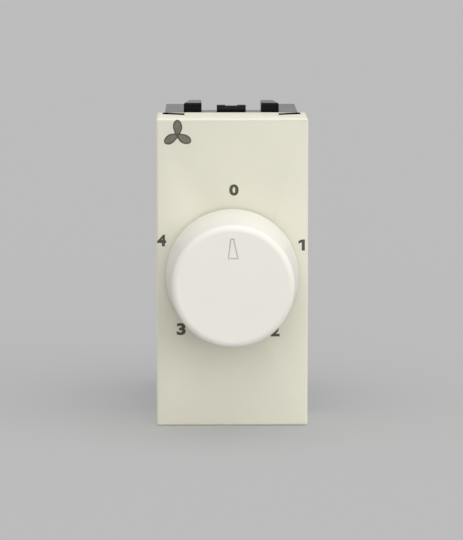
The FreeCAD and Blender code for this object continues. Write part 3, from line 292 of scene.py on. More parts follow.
def apply_modifier(piece, kind, **settings):
    """Adds a modifier with its settings to the active piece, and applies it."""
    bpy.ops.object.modifier_add(type=kind)
    change = piece.modifiers[-1]
    for name, value in settings.items():
        setattr(change, name, value)
    bpy.ops.object.modifier_apply(modifier=change.name)


def extrude(way):
    bpy.ops.mesh.extrude_region_move(TRANSFORM_OT_translate={"value": way})


def resize(value):
    """Scales what is selected in edit mode, about the origin."""
    bpy.ops.transform.resize(value=value, center_override=(0, 0, 0))


def chain(places):
    """Starts a piece as a line of edges through some places, in edit mode and all selected."""
    start_alone()
    bpy.ops.mesh.primitive_plane_add(size=MM, location=places[0])
    piece = bpy.context.object
    bpy.ops.object.mode_set(mode="EDIT")
    bpy.ops.mesh.select_mode(type="VERT")
    bpy.ops.mesh.select_all(action="SELECT")
    bpy.ops.mesh.merge(type="CENTER")
    for before, after in zip(places, places[1:]):
        bpy.ops.mesh.extrude_vertices_move(TRANSFORM_OT_translate={"value": after - before})
    bpy.ops.mesh.select_all(action="SELECT")
    return piece


def lathe(profile, centre, axis, steps):
    """Spins a section, given as (distance along the axis, radius) pairs, round an axis."""
    along, out = AXES[axis]
    piece = chain([centre + along * distance + out * radius for distance, radius in profile])
    bpy.ops.mesh.spin(steps=steps, angle=math.tau, center=centre, axis=along)
    leave_edit()
    return set_in_place(piece)


def quarter_round(start, towards, radius, flats):
    """Points of a rounded corner between two directions, for a lathe profile."""
    points = []
    for step in range(flats + 1):
        angle = QUARTER * step / flats
        points.append((
            start[0] + towards[0] * radius * (1 - math.cos(angle)),
            start[1] + towards[1] * radius * math.sin(angle),
        ))
    return points


def block(low, high):
    """A box between two corners, to be shaped, joined on or cut out."""
    start_alone()
    low = Vector(low)
    high = Vector(high)
    bpy.ops.mesh.primitive_cube_add(size=1, location=(low + high) / 2)
    piece = bpy.context.object
    piece.scale = high - low
    return set_in_place(piece)


def combine(piece, other, operation):
    """Cuts another solid out of a piece, or joins it on."""
    take(piece)
    apply_modifier(piece, "BOOLEAN", operation=operation, solver="EXACT", object=other)
    bpy.data.objects.remove(other)


def copy_of(piece):
    """Another piece of the same form, with a mesh of its own."""
    take(piece)
    bpy.ops.object.duplicate()
    return bpy.context.object


def joined(pieces):
    """Several pieces made one, each still a closed form of its own."""
    start_alone()
    for piece in pieces:
        piece.select_set(True)
    bpy.context.view_layer.objects.active = pieces[0]
    bpy.ops.object.join()
    return bpy.context.object


def turn_about(piece, centre, axis, angle):
    """Turns a piece round an axis through a point and keeps the turn in its mesh."""
    take(piece)
    shift = Matrix.Translation(centre)
    piece.matrix_world = shift @ Matrix.Rotation(angle, 4, axis) @ shift.inverted()
    return set_in_place(piece)


def paint(piece, finishes):
    """Gives a piece its materials, by their names."""
    piece.data.materials.clear()
    for finish in finishes:
        piece.data.materials.append(materials[finish])


def finish_piece(piece, name, body, finishes=(), replaced=()):
    """Names a finished piece, smooths its shading and ties it to its body."""
    set_in_place(piece)
    piece.name = name
    piece.data.name = name
    if finishes:
        paint(piece, finishes)
    bpy.ops.object.shade_smooth_by_angle(angle=SMOOTH_BELOW)
    apply_modifier(piece, "WEIGHTED_NORMAL", keep_sharp=True, weight=100)
    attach(piece, body)
    if replaced:
        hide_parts(*replaced)
    return piece


# Materials

# The colour sockets of a Mix node, which share their names with its other sockets
FIRST_COLOUR, LAST_COLOUR, MIXED_COLOUR = 6, 7, 2


class Shader:
    """A material whose nodes are added one after another."""

    def __init__(self, name, base, roughness, metallic=0.0, specular=0.5):
        self.material = bpy.data.materials.new(name)
        self.material.use_nodes = True
        self.nodes = self.material.node_tree.nodes
        self.links = self.material.node_tree.links
        self.surface = self.nodes["Principled BSDF"]
        self.surface.inputs["Base Color"].default_value = (*base, 1)
        self.surface.inputs["Roughness"].default_value = roughness
        self.surface.inputs["Metallic"].default_value = metallic
        self.surface.inputs["Specular IOR Level"].default_value = specular
        self.place = self.nodes.new("ShaderNodeTexCoord").outputs["Object"]

    def add(self, kind, **inputs):
        """Adds a node; each of its named inputs is set to a value or linked to an output."""
        node = self.nodes.new("ShaderNode" + kind)
        for name, value in inputs.items():
            socket = node.inputs[name.replace("_", " ")]
            if isinstance(value, bpy.types.NodeSocket):
                self.links.new(value, socket)
            else:
                socket.default_value = value
        return node

    def noise(self, per_mm, detail, stretch=(1, 1, 1)):
        """A noise pattern on Object coordinates, with so many waves in a millimetre."""
        mapping = self.add("Mapping", Scale=stretch, Vector=self.place)
        texture = self.add(
            "TexNoise", Scale=per_mm / MM, Detail=detail, Vector=mapping.outputs["Vector"]
        )
        return texture.outputs["Fac"]

    def ramp(self, factor, low, high, first, last):
        """Turns a pattern's values from low to high into values from first to last."""
        node = self.add(
            "MapRange", Value=factor, From_Min=low, From_Max=high, To_Min=first, To_Max=last
        )
        return node.outputs["Result"]

    def mix(self, factor, first, last):
        """A colour between two, led by a factor."""
        node = self.nodes.new("ShaderNodeMix")
        node.data_type = "RGBA"
        self.links.new(factor, node.inputs["Factor"])
        node.inputs[FIRST_COLOUR].default_value = (*first, 1)
        node.inputs[LAST_COLOUR].default_value = (*last, 1)
        return node.outputs[MIXED_COLOUR]

    def colour(self, output):
        self.links.new(output, self.surface.inputs["Base Color"])

    def roughness(self, output):
        self.links.new(output, self.surface.inputs["Roughness"])

    def bump(self, height, depth_mm):
        """Raises the surface by a pattern; several bumps add up."""
        node = self.add("Bump", Distance=depth_mm * MM, Strength=1, Height=height)
        normal = self.surface.inputs["Normal"]
        if normal.is_linked:
            self.links.new(normal.links[0].from_socket, node.inputs["Normal"])
        self.links.new(node.outputs["Normal"], normal)


def shade(value, amount):
    """A colour made darker or lighter."""
    return tuple(max(0.0, min(1.0, part * amount)) for part in value)


def moulded_plastic(name, base, gloss, grain, mottle, specular):
    """Moulded plastic: cloudy colour, a fine grain from the mould, slightly uneven gloss."""
    shader = Shader(name, base, gloss, specular=specular)
    cloud = shader.noise(0.12, 3)
    shader.colour(shader.mix(
        shader.ramp(cloud, 0.35, 0.65, 0, 1), shade(base, 1 - mottle), shade(base, 1 + mottle)
    ))
    shader.roughness(shader.ramp(shader.noise(0.3, 1), 0.0, 1.0, gloss * 0.7, gloss * 1.35))
    shader.bump(shader.noise(2.5, 2), grain)
    shader.bump(shader.noise(0.3, 1), grain * 3)
    return shader.material


def metal(name, base, gloss, stretch, tarnish):
    """Sheet or turned metal: drawn lines along one direction and a patchy tarnish."""
    shader = Shader(name, base, gloss, metallic=1.0)
    lines = shader.noise(4.0, 4, stretch)
    patches = shader.noise(0.5, 5)
    shader.colour(shader.mix(shader.ramp(patches, 0.45, 0.75, 0, 1), base, tarnish))
    shader.roughness(shader.ramp(lines, 0.3, 0.7, gloss * 0.7, gloss * 1.5))
    shader.bump(lines, 0.006)
    return shader.material


def speckled(name, base, flecks, gloss, per_mm, grain):
    """A filled moulding or a laminate: a ground colour with flecks of another."""
    shader = Shader(name, base, gloss)
    spots = shader.noise(per_mm, 6)
    shader.colour(shader.mix(shader.ramp(spots, 0.5, 0.68, 0, 1), base, flecks))
    shader.roughness(shader.ramp(shader.noise(1.0, 3), 0.3, 0.7, gloss * 0.85, gloss * 1.2))
    shader.bump(spots, grain)
    return shader.material


def printed_ink(name, base):
    """Pad-printed ink: a little uneven in cover and gloss."""
    shader = Shader(name, base, 0.5)
    cover = shader.noise(3.0, 4)
    shader.colour(shader.mix(shader.ramp(cover, 0.4, 0.75, 0, 1), base, shade(base, 1.5)))
    shader.roughness(shader.ramp(cover, 0.3, 0.7, 0.4, 0.6))
    shader.bump(cover, 0.003)
    return shader.material


STEEL = (0.55, 0.55, 0.56)
ZINC = (0.66, 0.67, 0.68)
BRASS = (0.78, 0.56, 0.24)
DARK_BRASS = (0.46, 0.31, 0.14)

materials = {}


def make_materials(finishes):
    plate = tuple(finishes.plate)
    knob = tuple(finishes.knob)
    case = tuple(finishes.case)
    # Colour, roughness, depth of the grain in mm, cloudiness and specular level
    for name, *look in (
        ("ivory_plate", plate, 0.55, 0.004, 0.012, 0.12),
        ("ivory_knob", knob, 0.34, 0.003, 0.008, 0.3),
        ("black_case", case, 0.14, 0.002, 0.3, 0.11),
        # Painted shade: a darker black with no reflection, for the lug tops, so the slits in
        # the plate render dark
        ("black_matt", shade(case, 0.8), 0.8, 0.01, 0.3, 0.0),
        ("white_nylon", (0.7, 0.69, 0.64), 0.5, 0.008, 0.03, 0.5),
        ("grey_nylon", (0.17, 0.175, 0.18), 0.5, 0.008, 0.05, 0.5),
        ("capacitor_case", (0.3, 0.035, 0.015), 0.22, 0.02, 0.08, 0.5),
    ):
        materials[name] = moulded_plastic(name, *look)
    # Colour, roughness, stretch of the drawn lines and colour of the tarnish
    for name, *look in (
        ("spring_steel", STEEL, 0.28, (1, 0.1, 1), (0.32, 0.31, 0.3)),
        ("plated_steel", ZINC, 0.3, (1, 1, 0.3), (0.5, 0.5, 0.46)),
        ("contact_brass", BRASS, 0.3, (0.2, 1, 1), DARK_BRASS),
        ("terminal_brass", BRASS, 0.34, (1, 0.15, 1), DARK_BRASS),
        ("solder", (0.6, 0.6, 0.58), 0.3, (1, 1, 1), (0.4, 0.4, 0.39)),
        ("tinned_wire", (0.62, 0.6, 0.57), 0.25, (1, 0.2, 1), (0.4, 0.38, 0.35)),
        ("track", (0.7, 0.42, 0.26), 0.35, (1, 1, 1), (0.4, 0.24, 0.15)),
        ("band_gold", (0.6, 0.4, 0.12), 0.35, (1, 1, 1), (0.35, 0.22, 0.06)),
    ):
        materials[name] = metal(name, *look)
    # Colour, colour of the flecks, roughness, flecks in a mm and depth of the grain in mm
    for name, *look in (
        ("brown_phenolic", (0.05, 0.022, 0.012), (0.13, 0.07, 0.04), 0.4, 3.0, 0.006),
        ("board_laminate", (0.3, 0.19, 0.08), (0.38, 0.26, 0.13), 0.45, 1.6, 0.004),
        ("resistor_tan", (0.5, 0.34, 0.18), (0.4, 0.26, 0.13), 0.35, 2.0, 0.01),
        ("resistor_grey", (0.14, 0.18, 0.2), (0.1, 0.13, 0.15), 0.6, 2.5, 0.015),
        ("potting", (0.035, 0.03, 0.03), (0.06, 0.05, 0.05), 0.35, 1.5, 0.02),
    ):
        materials[name] = speckled(name, *look)
    for name, base in (
        ("band_brown", (0.1, 0.035, 0.012)),
        ("band_black", (0.012, 0.012, 0.012)),
        ("band_yellow", (0.6, 0.42, 0.03)),
        ("ink", tuple(finishes.ink)),
        ("pale_ink", tuple(finishes.ink_light)),
    ):
        materials[name] = printed_ink(name, base)


# Pieces


def smooth_copy(node):
    """A merged copy of a CAD node, with its flat faces made whole again."""
    source = frame["nodes"][node]
    piece = bpy.data.objects.new(node + "_copy", source.data.copy())
    bpy.context.scene.collection.objects.link(piece)
    edit(piece)
    bpy.ops.mesh.customdata_custom_splitnormals_clear()
    bpy.ops.mesh.remove_doubles(threshold=TINY)
    bpy.ops.mesh.dissolve_limited(angle_limit=FLAT_WITHIN)
    bpy.ops.object.mode_set(mode="OBJECT")
    return piece


def engraved_mark(sizes, front_y):
    """The solid that cuts the outline of the pointer mark, a tall frame drawn in at its top."""
    start_alone()
    middle_z = KNOB_AXIS.z + sizes.mark_tip - sizes.mark_length / 2
    bpy.ops.mesh.primitive_plane_add(
        size=1, location=(0, front_y - sizes.mark_depth, middle_z), rotation=(QUARTER, 0, 0)
    )
    cutter = bpy.context.object
    cutter.scale = (sizes.mark_width, sizes.mark_length, 1)
    set_in_place(cutter)
    edit(cutter)
    pick_vertices(cutter, lambda place: place.z > middle_z)
    resize((sizes.mark_top / sizes.mark_width, 1, 1))
    bpy.ops.transform.translate(value=(-sizes.mark_lean, 0, 0))
    bpy.ops.mesh.select_mode(type="FACE")
    bpy.ops.mesh.select_all(action="SELECT")
    bpy.ops.mesh.inset(thickness=sizes.mark_line, depth=0)
    bpy.ops.mesh.delete(type="FACE")
    bpy.ops.mesh.select_all(action="SELECT")
    extrude((0, sizes.mark_depth * 2, 0))
    leave_edit()
    return cutter


class FANCONTROL_OT_knob(bpy.types.Operator):
    """Model the knob with a smooth taper, rounded front edge and engraved pointer."""

    bl_idname = "fancontrol.knob"
    bl_label = "Knob"

    def execute(self, context):
        sizes = context.scene.fan_knob
        front_y = knob_low.y
        base_y = knob_high.y
        inside_y = front_y + sizes.top
        front = [(front_y, 0)] + quarter_round(
            (front_y, sizes.front_radius - sizes.edge), (1, 1), sizes.edge, KNOB_EDGE_FLATS
        )
        rim = [
            (base_y - sizes.rim, sizes.base_radius),
            (base_y - sizes.rim * 0.3, sizes.base_radius - sizes.rim * 0.3),
            (base_y, sizes.base_radius - sizes.rim),
        ]
        inside = [
            (base_y, sizes.base_radius - sizes.wall),
            (inside_y, sizes.front_radius - sizes.wall),
            (inside_y, sizes.boss),
            (base_y, sizes.boss),
            (base_y, 0),
        ]
        piece = lathe(front + rim + inside, KNOB_AXIS, "Y", KNOB_SIDES)

        rib_start = sizes.boss - sizes.rib / 2
        rib_end = sizes.front_radius - sizes.wall / 2
        rib = block(
            (-sizes.rib / 2, inside_y - sizes.rib / 2, KNOB_AXIS.z + rib_start),
            (sizes.rib / 2, inside_y + sizes.rib_depth, KNOB_AXIS.z + rib_end),
        )
        for step in range(sizes.ribs):
            turn = math.tau * step / sizes.ribs
            combine(piece, turn_about(copy_of(rib), KNOB_AXIS, "Y", turn), "UNION")
        bpy.data.objects.remove(rib)

        start_alone()
        bore_y = front_y + sizes.bore_end
        bore_length = base_y + MM - bore_y
        bpy.ops.mesh.primitive_cylinder_add(
            vertices=BORE_SIDES, radius=sizes.bore, depth=bore_length,
            location=(0, bore_y + bore_length / 2, KNOB_AXIS.z), rotation=(QUARTER, 0, 0),
        )
        bore = set_in_place(bpy.context.object)
        edit(bore)
        bpy.ops.mesh.bisect(
            plane_co=(0, 0, KNOB_AXIS.z + sizes.bore_flat), plane_no=(0, 0, 1),
            use_fill=True, clear_outer=True,
        )
        leave_edit()
        combine(piece, bore, "DIFFERENCE")

        slot_reach = sizes.boss + sizes.rib / 4
        slot = block(
            (-slot_reach, base_y - sizes.slot_depth, KNOB_AXIS.z - sizes.slot / 2),
            (slot_reach, base_y + MM, KNOB_AXIS.z + sizes.slot / 2),
        )
        combine(piece, slot, "DIFFERENCE")
        combine(piece, engraved_mark(sizes, front_y), "DIFFERENCE")
        finish_piece(piece, "knob_shell", "selector", ["ivory_knob"], ["knob"])
        return {"FINISHED"}


def shell_of(node, name, width, slot):
    """A CAD node's own form with its sharp edges broken by a small rounding."""
    piece = smooth_copy(node)
    take(piece)
    apply_modifier(
        piece, "BEVEL", width=width, segments=2, limit_method="ANGLE",
        angle_limit=SHARP_ABOVE, use_clamp_overlap=True,
    )
    return finish_piece(piece, name, "case", [slot], [node])


def window_block(sizes, side, gap, top):
    """The slanted block that fills a snap window in the top of the plate, less a gap."""
    low, high = sorted(((sizes.inner + gap) * side, (sizes.outer - gap) * side))
    rear = plate_high.y - sizes.rear - gap
    front = plate_high.y - sizes.rear - sizes.across + gap
    piece = block((low, front, plate_high.z - sizes.depth + gap), (high, rear, top))
    edit(piece)
    pick_vertices(piece, lambda place: abs(place.x) < (sizes.inner + sizes.outer) / 2)
    bpy.ops.transform.translate(value=(0, -sizes.slant, 0))
    leave_edit()
    return piece


class FANCONTROL_OT_shells(bpy.types.Operator):
    """Break the sharp edges of the plate, the housing and the terminals, and fit the lugs."""

    bl_idname = "fancontrol.shells"
    bl_label = "Plate and housing"

    def execute(self, context):
        sizes = context.scene.fan_windows
        plate = shell_of("front_plate", "plate_shell", PLATE_EDGE, "ivory_plate")
        case = shell_of("housing", "housing_shell", CASE_EDGE, "black_case")
        # The tops of the snap lugs are rough from the mould, and carry painted shade: a darker
        # black that reflects nothing, so the slit round each lug renders dark
        case.data.materials.append(materials["black_matt"])
        lug_top = plate_high.z - sizes.sink
        for side in (-1, 1):
            combine(plate, window_block(sizes, side, 0, plate_high.z + MM), "DIFFERENCE")
            combine(case, window_block(sizes, side, sizes.gap, lug_top), "UNION")
        # The lug tops take the painted-shade black
        for face in case.data.polygons:
            face.material_index = int(face.center.y < 0 and face.center.z > lug_top - TINY)
        for node in ("line_terminal", "load_terminal"):
            shell_of(node, node + "_shell", BRASS_EDGE, "terminal_brass")
        return {"FINISHED"}


def lay_on_plate(piece, thickness):
    """Wraps a flat print onto the plate's face and its rounded edge, and gives it thickness."""
    edit(piece)
    for strip in range(1, EDGE_STRIPS + 1):
        inset = EDGE_STEP * strip
        for place, across in (
            ((plate_low.x + inset, 0, 0), (1, 0, 0)),
            ((plate_high.x - inset, 0, 0), (1, 0, 0)),
            ((0, 0, plate_high.z - inset), (0, 0, 1)),
        ):
            bpy.ops.mesh.select_all(action="SELECT")
            bpy.ops.mesh.bisect(plane_co=place, plane_no=across)
    bpy.ops.object.mode_set(mode="OBJECT")
    apply_modifier(
        piece, "SHRINKWRAP", target=bpy.data.objects["plate_shell"], wrap_method="PROJECT",
        use_project_x=False, use_project_z=False, use_project_y=True,
        use_negative_direction=True, use_positive_direction=True,
        wrap_mode="ABOVE_SURFACE", offset=thickness / 2,
    )
    apply_modifier(piece, "SOLIDIFY", thickness=thickness, offset=0)


# Each number's middle on the plate, across and upright, its width and height, in millimetres
NUMBERS = (
    (0.25, 12.13, 1.36, 1.64),
    (10.07, 4.1, 0.92, 1.62),
    (6.25, -8.45, 1.3, 1.7),
    (-7.42, -8.2, 1.32, 1.78),
    (-10.22, 4.78, 1.3, 1.7),
)


def figure(number, weight):
    """A number from Blender's own type, thickened, as a flat mesh that faces forwards."""
    start_alone()
    bpy.ops.object.text_add(rotation=(QUARTER, 0, 0))
    text = bpy.context.object.data
    text.body = str(number)
    text.offset = weight
    text.resolution_u = 6
    bpy.ops.object.convert(target="MESH")
    return set_in_place(bpy.context.object)


FLAG_HEIGHT = 0.95  # Height of the flag of the number 1 at its root, in strokes
FLAG_SLOPE = 0.5


def figure_one(height, stroke, flag):
    """The number 1 with its slanting flag, from a bar whose upper left side is drawn out."""
    start_alone()
    bpy.ops.mesh.primitive_plane_add(size=1, rotation=(QUARTER, 0, 0))
    piece = bpy.context.object
    piece.scale = (stroke, height, 1)
    set_in_place(piece)
    edit(piece)
    flag_root = height / 2 - stroke * FLAG_HEIGHT
    bpy.ops.mesh.bisect(plane_co=(0, 0, flag_root), plane_no=(0, 0, 1))
    pick_vertices(piece, lambda place: place.x < 0 and place.z > flag_root - TINY)
    extrude((-flag, 0, -flag * FLAG_SLOPE))
    leave_edit()
    return piece


class FANCONTROL_OT_numbers(bpy.types.Operator):
    """Print the numbers 0 to 4 round the knob."""

    bl_idname = "fancontrol.numbers"
    bl_label = "Numbers"

    def execute(self, context):
        sizes = context.scene.fan_print
        for number, (x, z, width, height) in enumerate(NUMBERS):
            if number == 1:
                piece = figure_one(height * MM, sizes.stroke, sizes.flag)
            else:
                piece = figure(number, sizes.weight)
            corners = [Vector(corner) for corner in piece.bound_box]
            low = Vector(map(min, *corners))
            high = Vector(map(max, *corners))
            across = width * MM / (high.x - low.x)
            upright = height * MM / (high.z - low.z)
            take(piece)
            piece.scale = (across, 1, upright)
            middle = (low + high) / 2 * Vector((across, 1, upright))
            piece.location = Vector((x * MM, FACE_Y - MM, z * MM)) - middle
            set_in_place(piece)
            lay_on_plate(piece, sizes.ink)
            finish_piece(piece, "number_%d" % number, "case", ["ink"])
        return {"FINISHED"}


# The fan symbol's middle on the plate, in mm, and the turns of its other two petals, in degrees
SYMBOL_X, SYMBOL_Z = -7.9, 20.1
PETAL_TURNS = (118, 239)

# The half of a petal towards the hub is drawn in, band by band, and swept like a blade. A band
# starts at a level between the tip at 1 and the hub at -1; its sweep is a share of the length.
PETAL_BANDS = (
    (0.4, 0.99, 0.008), (0.2, 0.97, 0.008), (0, 0.95, 0.006), (-0.2, 0.94, 0.002),
    (-0.4, 0.94, -0.006), (-0.6, 0.96, -0.008), (-0.8, 1, -0.01),
)


def petal(reach, width):
    """One petal seen from the front, narrow at the hub and wide towards its tip."""
    start_alone()
    bpy.ops.mesh.primitive_circle_add(
        vertices=PETAL_SIDES, radius=1, fill_type="NGON", rotation=(QUARTER, 0, 0)
    )
    piece = set_in_place(bpy.context.object)
    edit(piece)
    resize((width / 2, 1, reach / 2))
    for level, narrowing, sweep in PETAL_BANDS:
        limit = level * reach / 2
        pick_vertices(piece, lambda place: place.z < limit)
        resize((narrowing, 1, 1))
        bpy.ops.transform.translate(value=(sweep * reach, 0, 0))
    bpy.ops.mesh.select_all(action="SELECT")
    bpy.ops.transform.translate(value=(0, 0, reach / 2))
    bpy.ops.object.mode_set(mode="OBJECT")
    return piece


def petals(reach, width, start, name, ink, thickness):
    """Three petals round the hub, each laid on the plate, made one print."""
    first = petal(reach, width)
    first.location = (0, 0, start)
    set_in_place(first)
    others = [
        turn_about(copy_of(first), Vector(), "Y", math.radians(turn)) for turn in PETAL_TURNS
    ]
    for piece in [first] + others:
        piece.location = (SYMBOL_X * MM, FACE_Y - MM, SYMBOL_Z * MM)
        set_in_place(piece)
        lay_on_plate(piece, thickness)
    for piece in others:
        combine(first, piece, "UNION")
    finish_piece(first, name, "case", [ink])


class FANCONTROL_OT_symbol(bpy.types.Operator):
    """Print the three-petal fan symbol, dark at its edge and paler inside."""

    bl_idname = "fancontrol.symbol"
    bl_label = "Fan symbol"

    def execute(self, context):
        sizes = context.scene.fan_print
        line = sizes.petal_line
        petals(
            sizes.petal_length + sizes.petal_root, sizes.petal_width, -sizes.petal_root,
            "fan_symbol_edge", "ink", sizes.ink,
        )
        # The paler ink stands a little prouder, so that it covers the darker one
        petals(
            sizes.petal_length - line * 2, sizes.petal_width - line * 2, line,
            "fan_symbol_fill", "pale_ink", sizes.ink * 1.5,
        )
        return {"FINISHED"}


# Section of a thread's ridge: the share of its height that is sunk in the core, and where its
# crest starts and ends and its foot ends, as shares of the pitch
RIDGE_SINK = 0.3
CREST_START, CREST_END, FOOT_END = 0.44, 0.5, 0.94


def thread(start, radius, height, pitch, turns):
    """A helical ridge round the Z axis, closed at both ends."""
    root = radius - height * RIDGE_SINK
    crest = radius + height
    piece = chain([
        Vector((root, 0, start)),
        Vector((crest, 0, start + pitch * CREST_START)),
        Vector((crest, 0, start + pitch * CREST_END)),
        Vector((root, 0, start + pitch * FOOT_END)),
    ])
    bpy.ops.mesh.edge_face_add()
    bpy.ops.mesh.delete(type="ONLY_FACE")
    bpy.ops.object.mode_set(mode="OBJECT")
    set_in_place(piece)
    apply_modifier(
        piece, "SCREW", axis="Z", screw_offset=pitch, iterations=turns,
        steps=THREAD_STEPS, render_steps=THREAD_STEPS,
    )
    edit(piece)
    bpy.ops.mesh.remove_doubles(threshold=TINY)
    bpy.ops.mesh.select_mode(type="EDGE")
    bpy.ops.mesh.select_all(action="DESELECT")
    bpy.ops.mesh.select_non_manifold()
    bpy.ops.mesh.fill()
    leave_edit()
    return piece


def screw(core, ridge, pitch, reach, head, head_height, slots):
    """A screw with a real thread that stands on its tip at z = 0, round the Z axis."""
    top = reach + head_height
    edge = head_height * 0.25
    tip = core * 0.3
    piece = lathe(
        [
            (0, 0), (0, core * 0.8), (tip, core), (reach, core), (reach, head),
            (top - edge, head), (top - edge * 0.3, head - edge * 0.4), (top, head - edge * 1.3),
            (top, 0),
        ],
        Vector(), "Z", SCREW_SIDES,
    )
    turns = int((reach - tip) / pitch) - 1
    combine(piece, thread(core * 0.35, core, ridge, pitch, turns), "UNION")
    for turn, half_length, width in slots:
        cut = block((-half_length, -width / 2, top - width), (half_length, width / 2, top + MM))
        turn_about(cut, Vector(), "Z", turn)
        combine(piece, cut, "DIFFERENCE")
    return piece


class FANCONTROL_OT_screws(bpy.types.Operator):
    """Model the terminal screws and the cover screws with their threads and slots."""

    bl_idname = "fancontrol.screws"
    bl_label = "Screws"

    def execute(self, context):
        sizes = context.scene.fan_parts
        steel = ["plated_steel"]
        low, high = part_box("load_screw")
        upper = screw(
            sizes.screw_core, sizes.screw_thread, sizes.screw_pitch,
            high.z - low.z - sizes.screw_head_height, sizes.screw_head, sizes.screw_head_height,
            [(0, sizes.screw_head * 1.2, sizes.screw_slot)],
        )
        lower = turn_about(copy_of(upper), Vector(), "Y", math.pi)
        upper.location = (0, (low.y + high.y) / 2, low.z)
        low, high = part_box("line_screw")
        lower.location = (0, (low.y + high.y) / 2, high.z)
        finish_piece(
            upper, "load_screw_threaded", "load_clamp", steel, ["load_screw"]
        )
        finish_piece(
            lower, "line_screw_threaded", "line_clamp", steel, ["line_screw"]
        )

        low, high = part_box("cover_screws")
        reach = high.y - low.y - sizes.cover_head_height
        cross = sizes.cover_head * 0.62
        right = screw(
            sizes.cover_core, sizes.cover_thread, sizes.cover_pitch, reach,
            sizes.cover_head, sizes.cover_head_height,
            [(0, cross, sizes.cover_slot), (QUARTER, cross, sizes.cover_slot)],
        )
        turn_about(right, Vector(), "X", QUARTER)
        left = copy_of(right)
        across = high.x - sizes.cover_head
        right.location = (across, high.y, (low.z + high.z) / 2)
        left.location = (-across, high.y, (low.z + high.z) / 2)
        finish_piece(
            right, "cover_screw_right", "case", steel, ["cover_screws"]
        )
        finish_piece(left, "cover_screw_left", "case", steel)
        return {"FINISHED"}


BEND = 2.4  # Radius of a bend in a resistor's lead, in radii of the lead

# Colour bands of a resistor: where the first starts, in steps from its middle, how much further
# off the last one stands, and the step and a band's width as shares of the resistor's length
FIRST_BAND = -1.9
LAST_BAND_GAP = 0.5
BAND_STEP = 0.12
BAND_WIDTH = 0.055


def bent_lead(sizes, start, corner, foot):
    """A wire that comes out along X, turns in a round bend and goes back to y = foot."""
    bend = sizes.lead * BEND
    start_alone()
    bpy.ops.mesh.primitive_circle_add(
        vertices=LEAD_SIDES, radius=sizes.lead, fill_type="NGON", location=(start, 0, 0),
        rotation=(0, QUARTER, 0),
    )
    piece = set_in_place(bpy.context.object)
    edit(piece)
    bpy.ops.mesh.select_mode(type="FACE")
    extrude((corner - bend - start, 0, 0))
    bpy.ops.mesh.spin(
        steps=BEND_STEPS, angle=-QUARTER, center=(corner - bend, bend, 0), axis=(0, 0, 1)
    )
    extrude((0, foot - bend, 0))
    leave_edit()
    paint(piece, ["tinned_wire"])
    return piece


def resistor(sizes, radius, span, foot, ground, paints):
    """An axial resistor along X with full ends, a waist, colour bands and bent leads."""
    half = span / 2
    end = span * 0.2
    waist = radius - sizes.waist
    bands = []
    for number in range(len(paints)):
        gap = LAST_BAND_GAP if number == len(paints) - 1 else 0
        start = (number + FIRST_BAND + gap) * span * BAND_STEP
        bands.append((start, start + span * BAND_WIDTH))
    left = [
        (-half, 0), (-half, radius * 0.45), (-half + end * 0.12, radius * 0.8),
        (-half + end * 0.35, radius), (-half + end * 0.75, radius), (-half + end * 1.1, waist),
    ]
    middle = [(place, waist) for band in bands for place in band]
    right = [(-along, out) for along, out in reversed(left)]
    piece = lathe(left + middle + right, Vector(), "X", RESISTOR_SIDES)
    paint(piece, [ground, *paints])
    for face in piece.data.polygons:
        for number, (start, stop) in enumerate(bands):
            if start < face.center.x < stop:
                face.material_index = number + 1
    lead = bent_lead(sizes, half * 0.95, half + sizes.lead_reach, foot)
    for turn in (0, math.pi):
        # The left lead is the right one turned round the leg's own direction
        combine(piece, turn_about(copy_of(lead), Vector(), "Y", turn), "UNION")
    bpy.data.objects.remove(lead)
    return piece


class FANCONTROL_OT_resistors(bpy.types.Operator):
    """Model the four resistors with their waists, bent leads and colour bands."""

    bl_idname = "fancontrol.resistors"
    bl_label = "Resistors"

    def execute(self, context):
        sizes = context.scene.fan_parts
        for node, radius, span, ground, paints in (
            (
                "bleed_resistors", sizes.bleed_radius, sizes.bleed_length, "resistor_tan",
                ("band_brown", "band_black", "band_yellow", "band_gold"),
            ),
            (
                "surge_resistors", sizes.surge_radius, sizes.surge_length, "resistor_grey",
                ("band_yellow", "band_brown", "band_black", "band_gold"),
            ),
        ):
            low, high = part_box(node)
            axis_y = low.y + radius
            upper = resistor(sizes, radius, span, high.y - axis_y, ground, paints)
            lower = copy_of(upper)
            middle = (low.z + high.z) / 2
            upper.location = (0, axis_y, middle + sizes.row / 2)
            lower.location = (0, axis_y, middle - sizes.row / 2)
            finish_piece(upper, node[:-1] + "_upper", "case", replaced=[node])
            finish_piece(lower, node[:-1] + "_lower", "case")
        return {"FINISHED"}


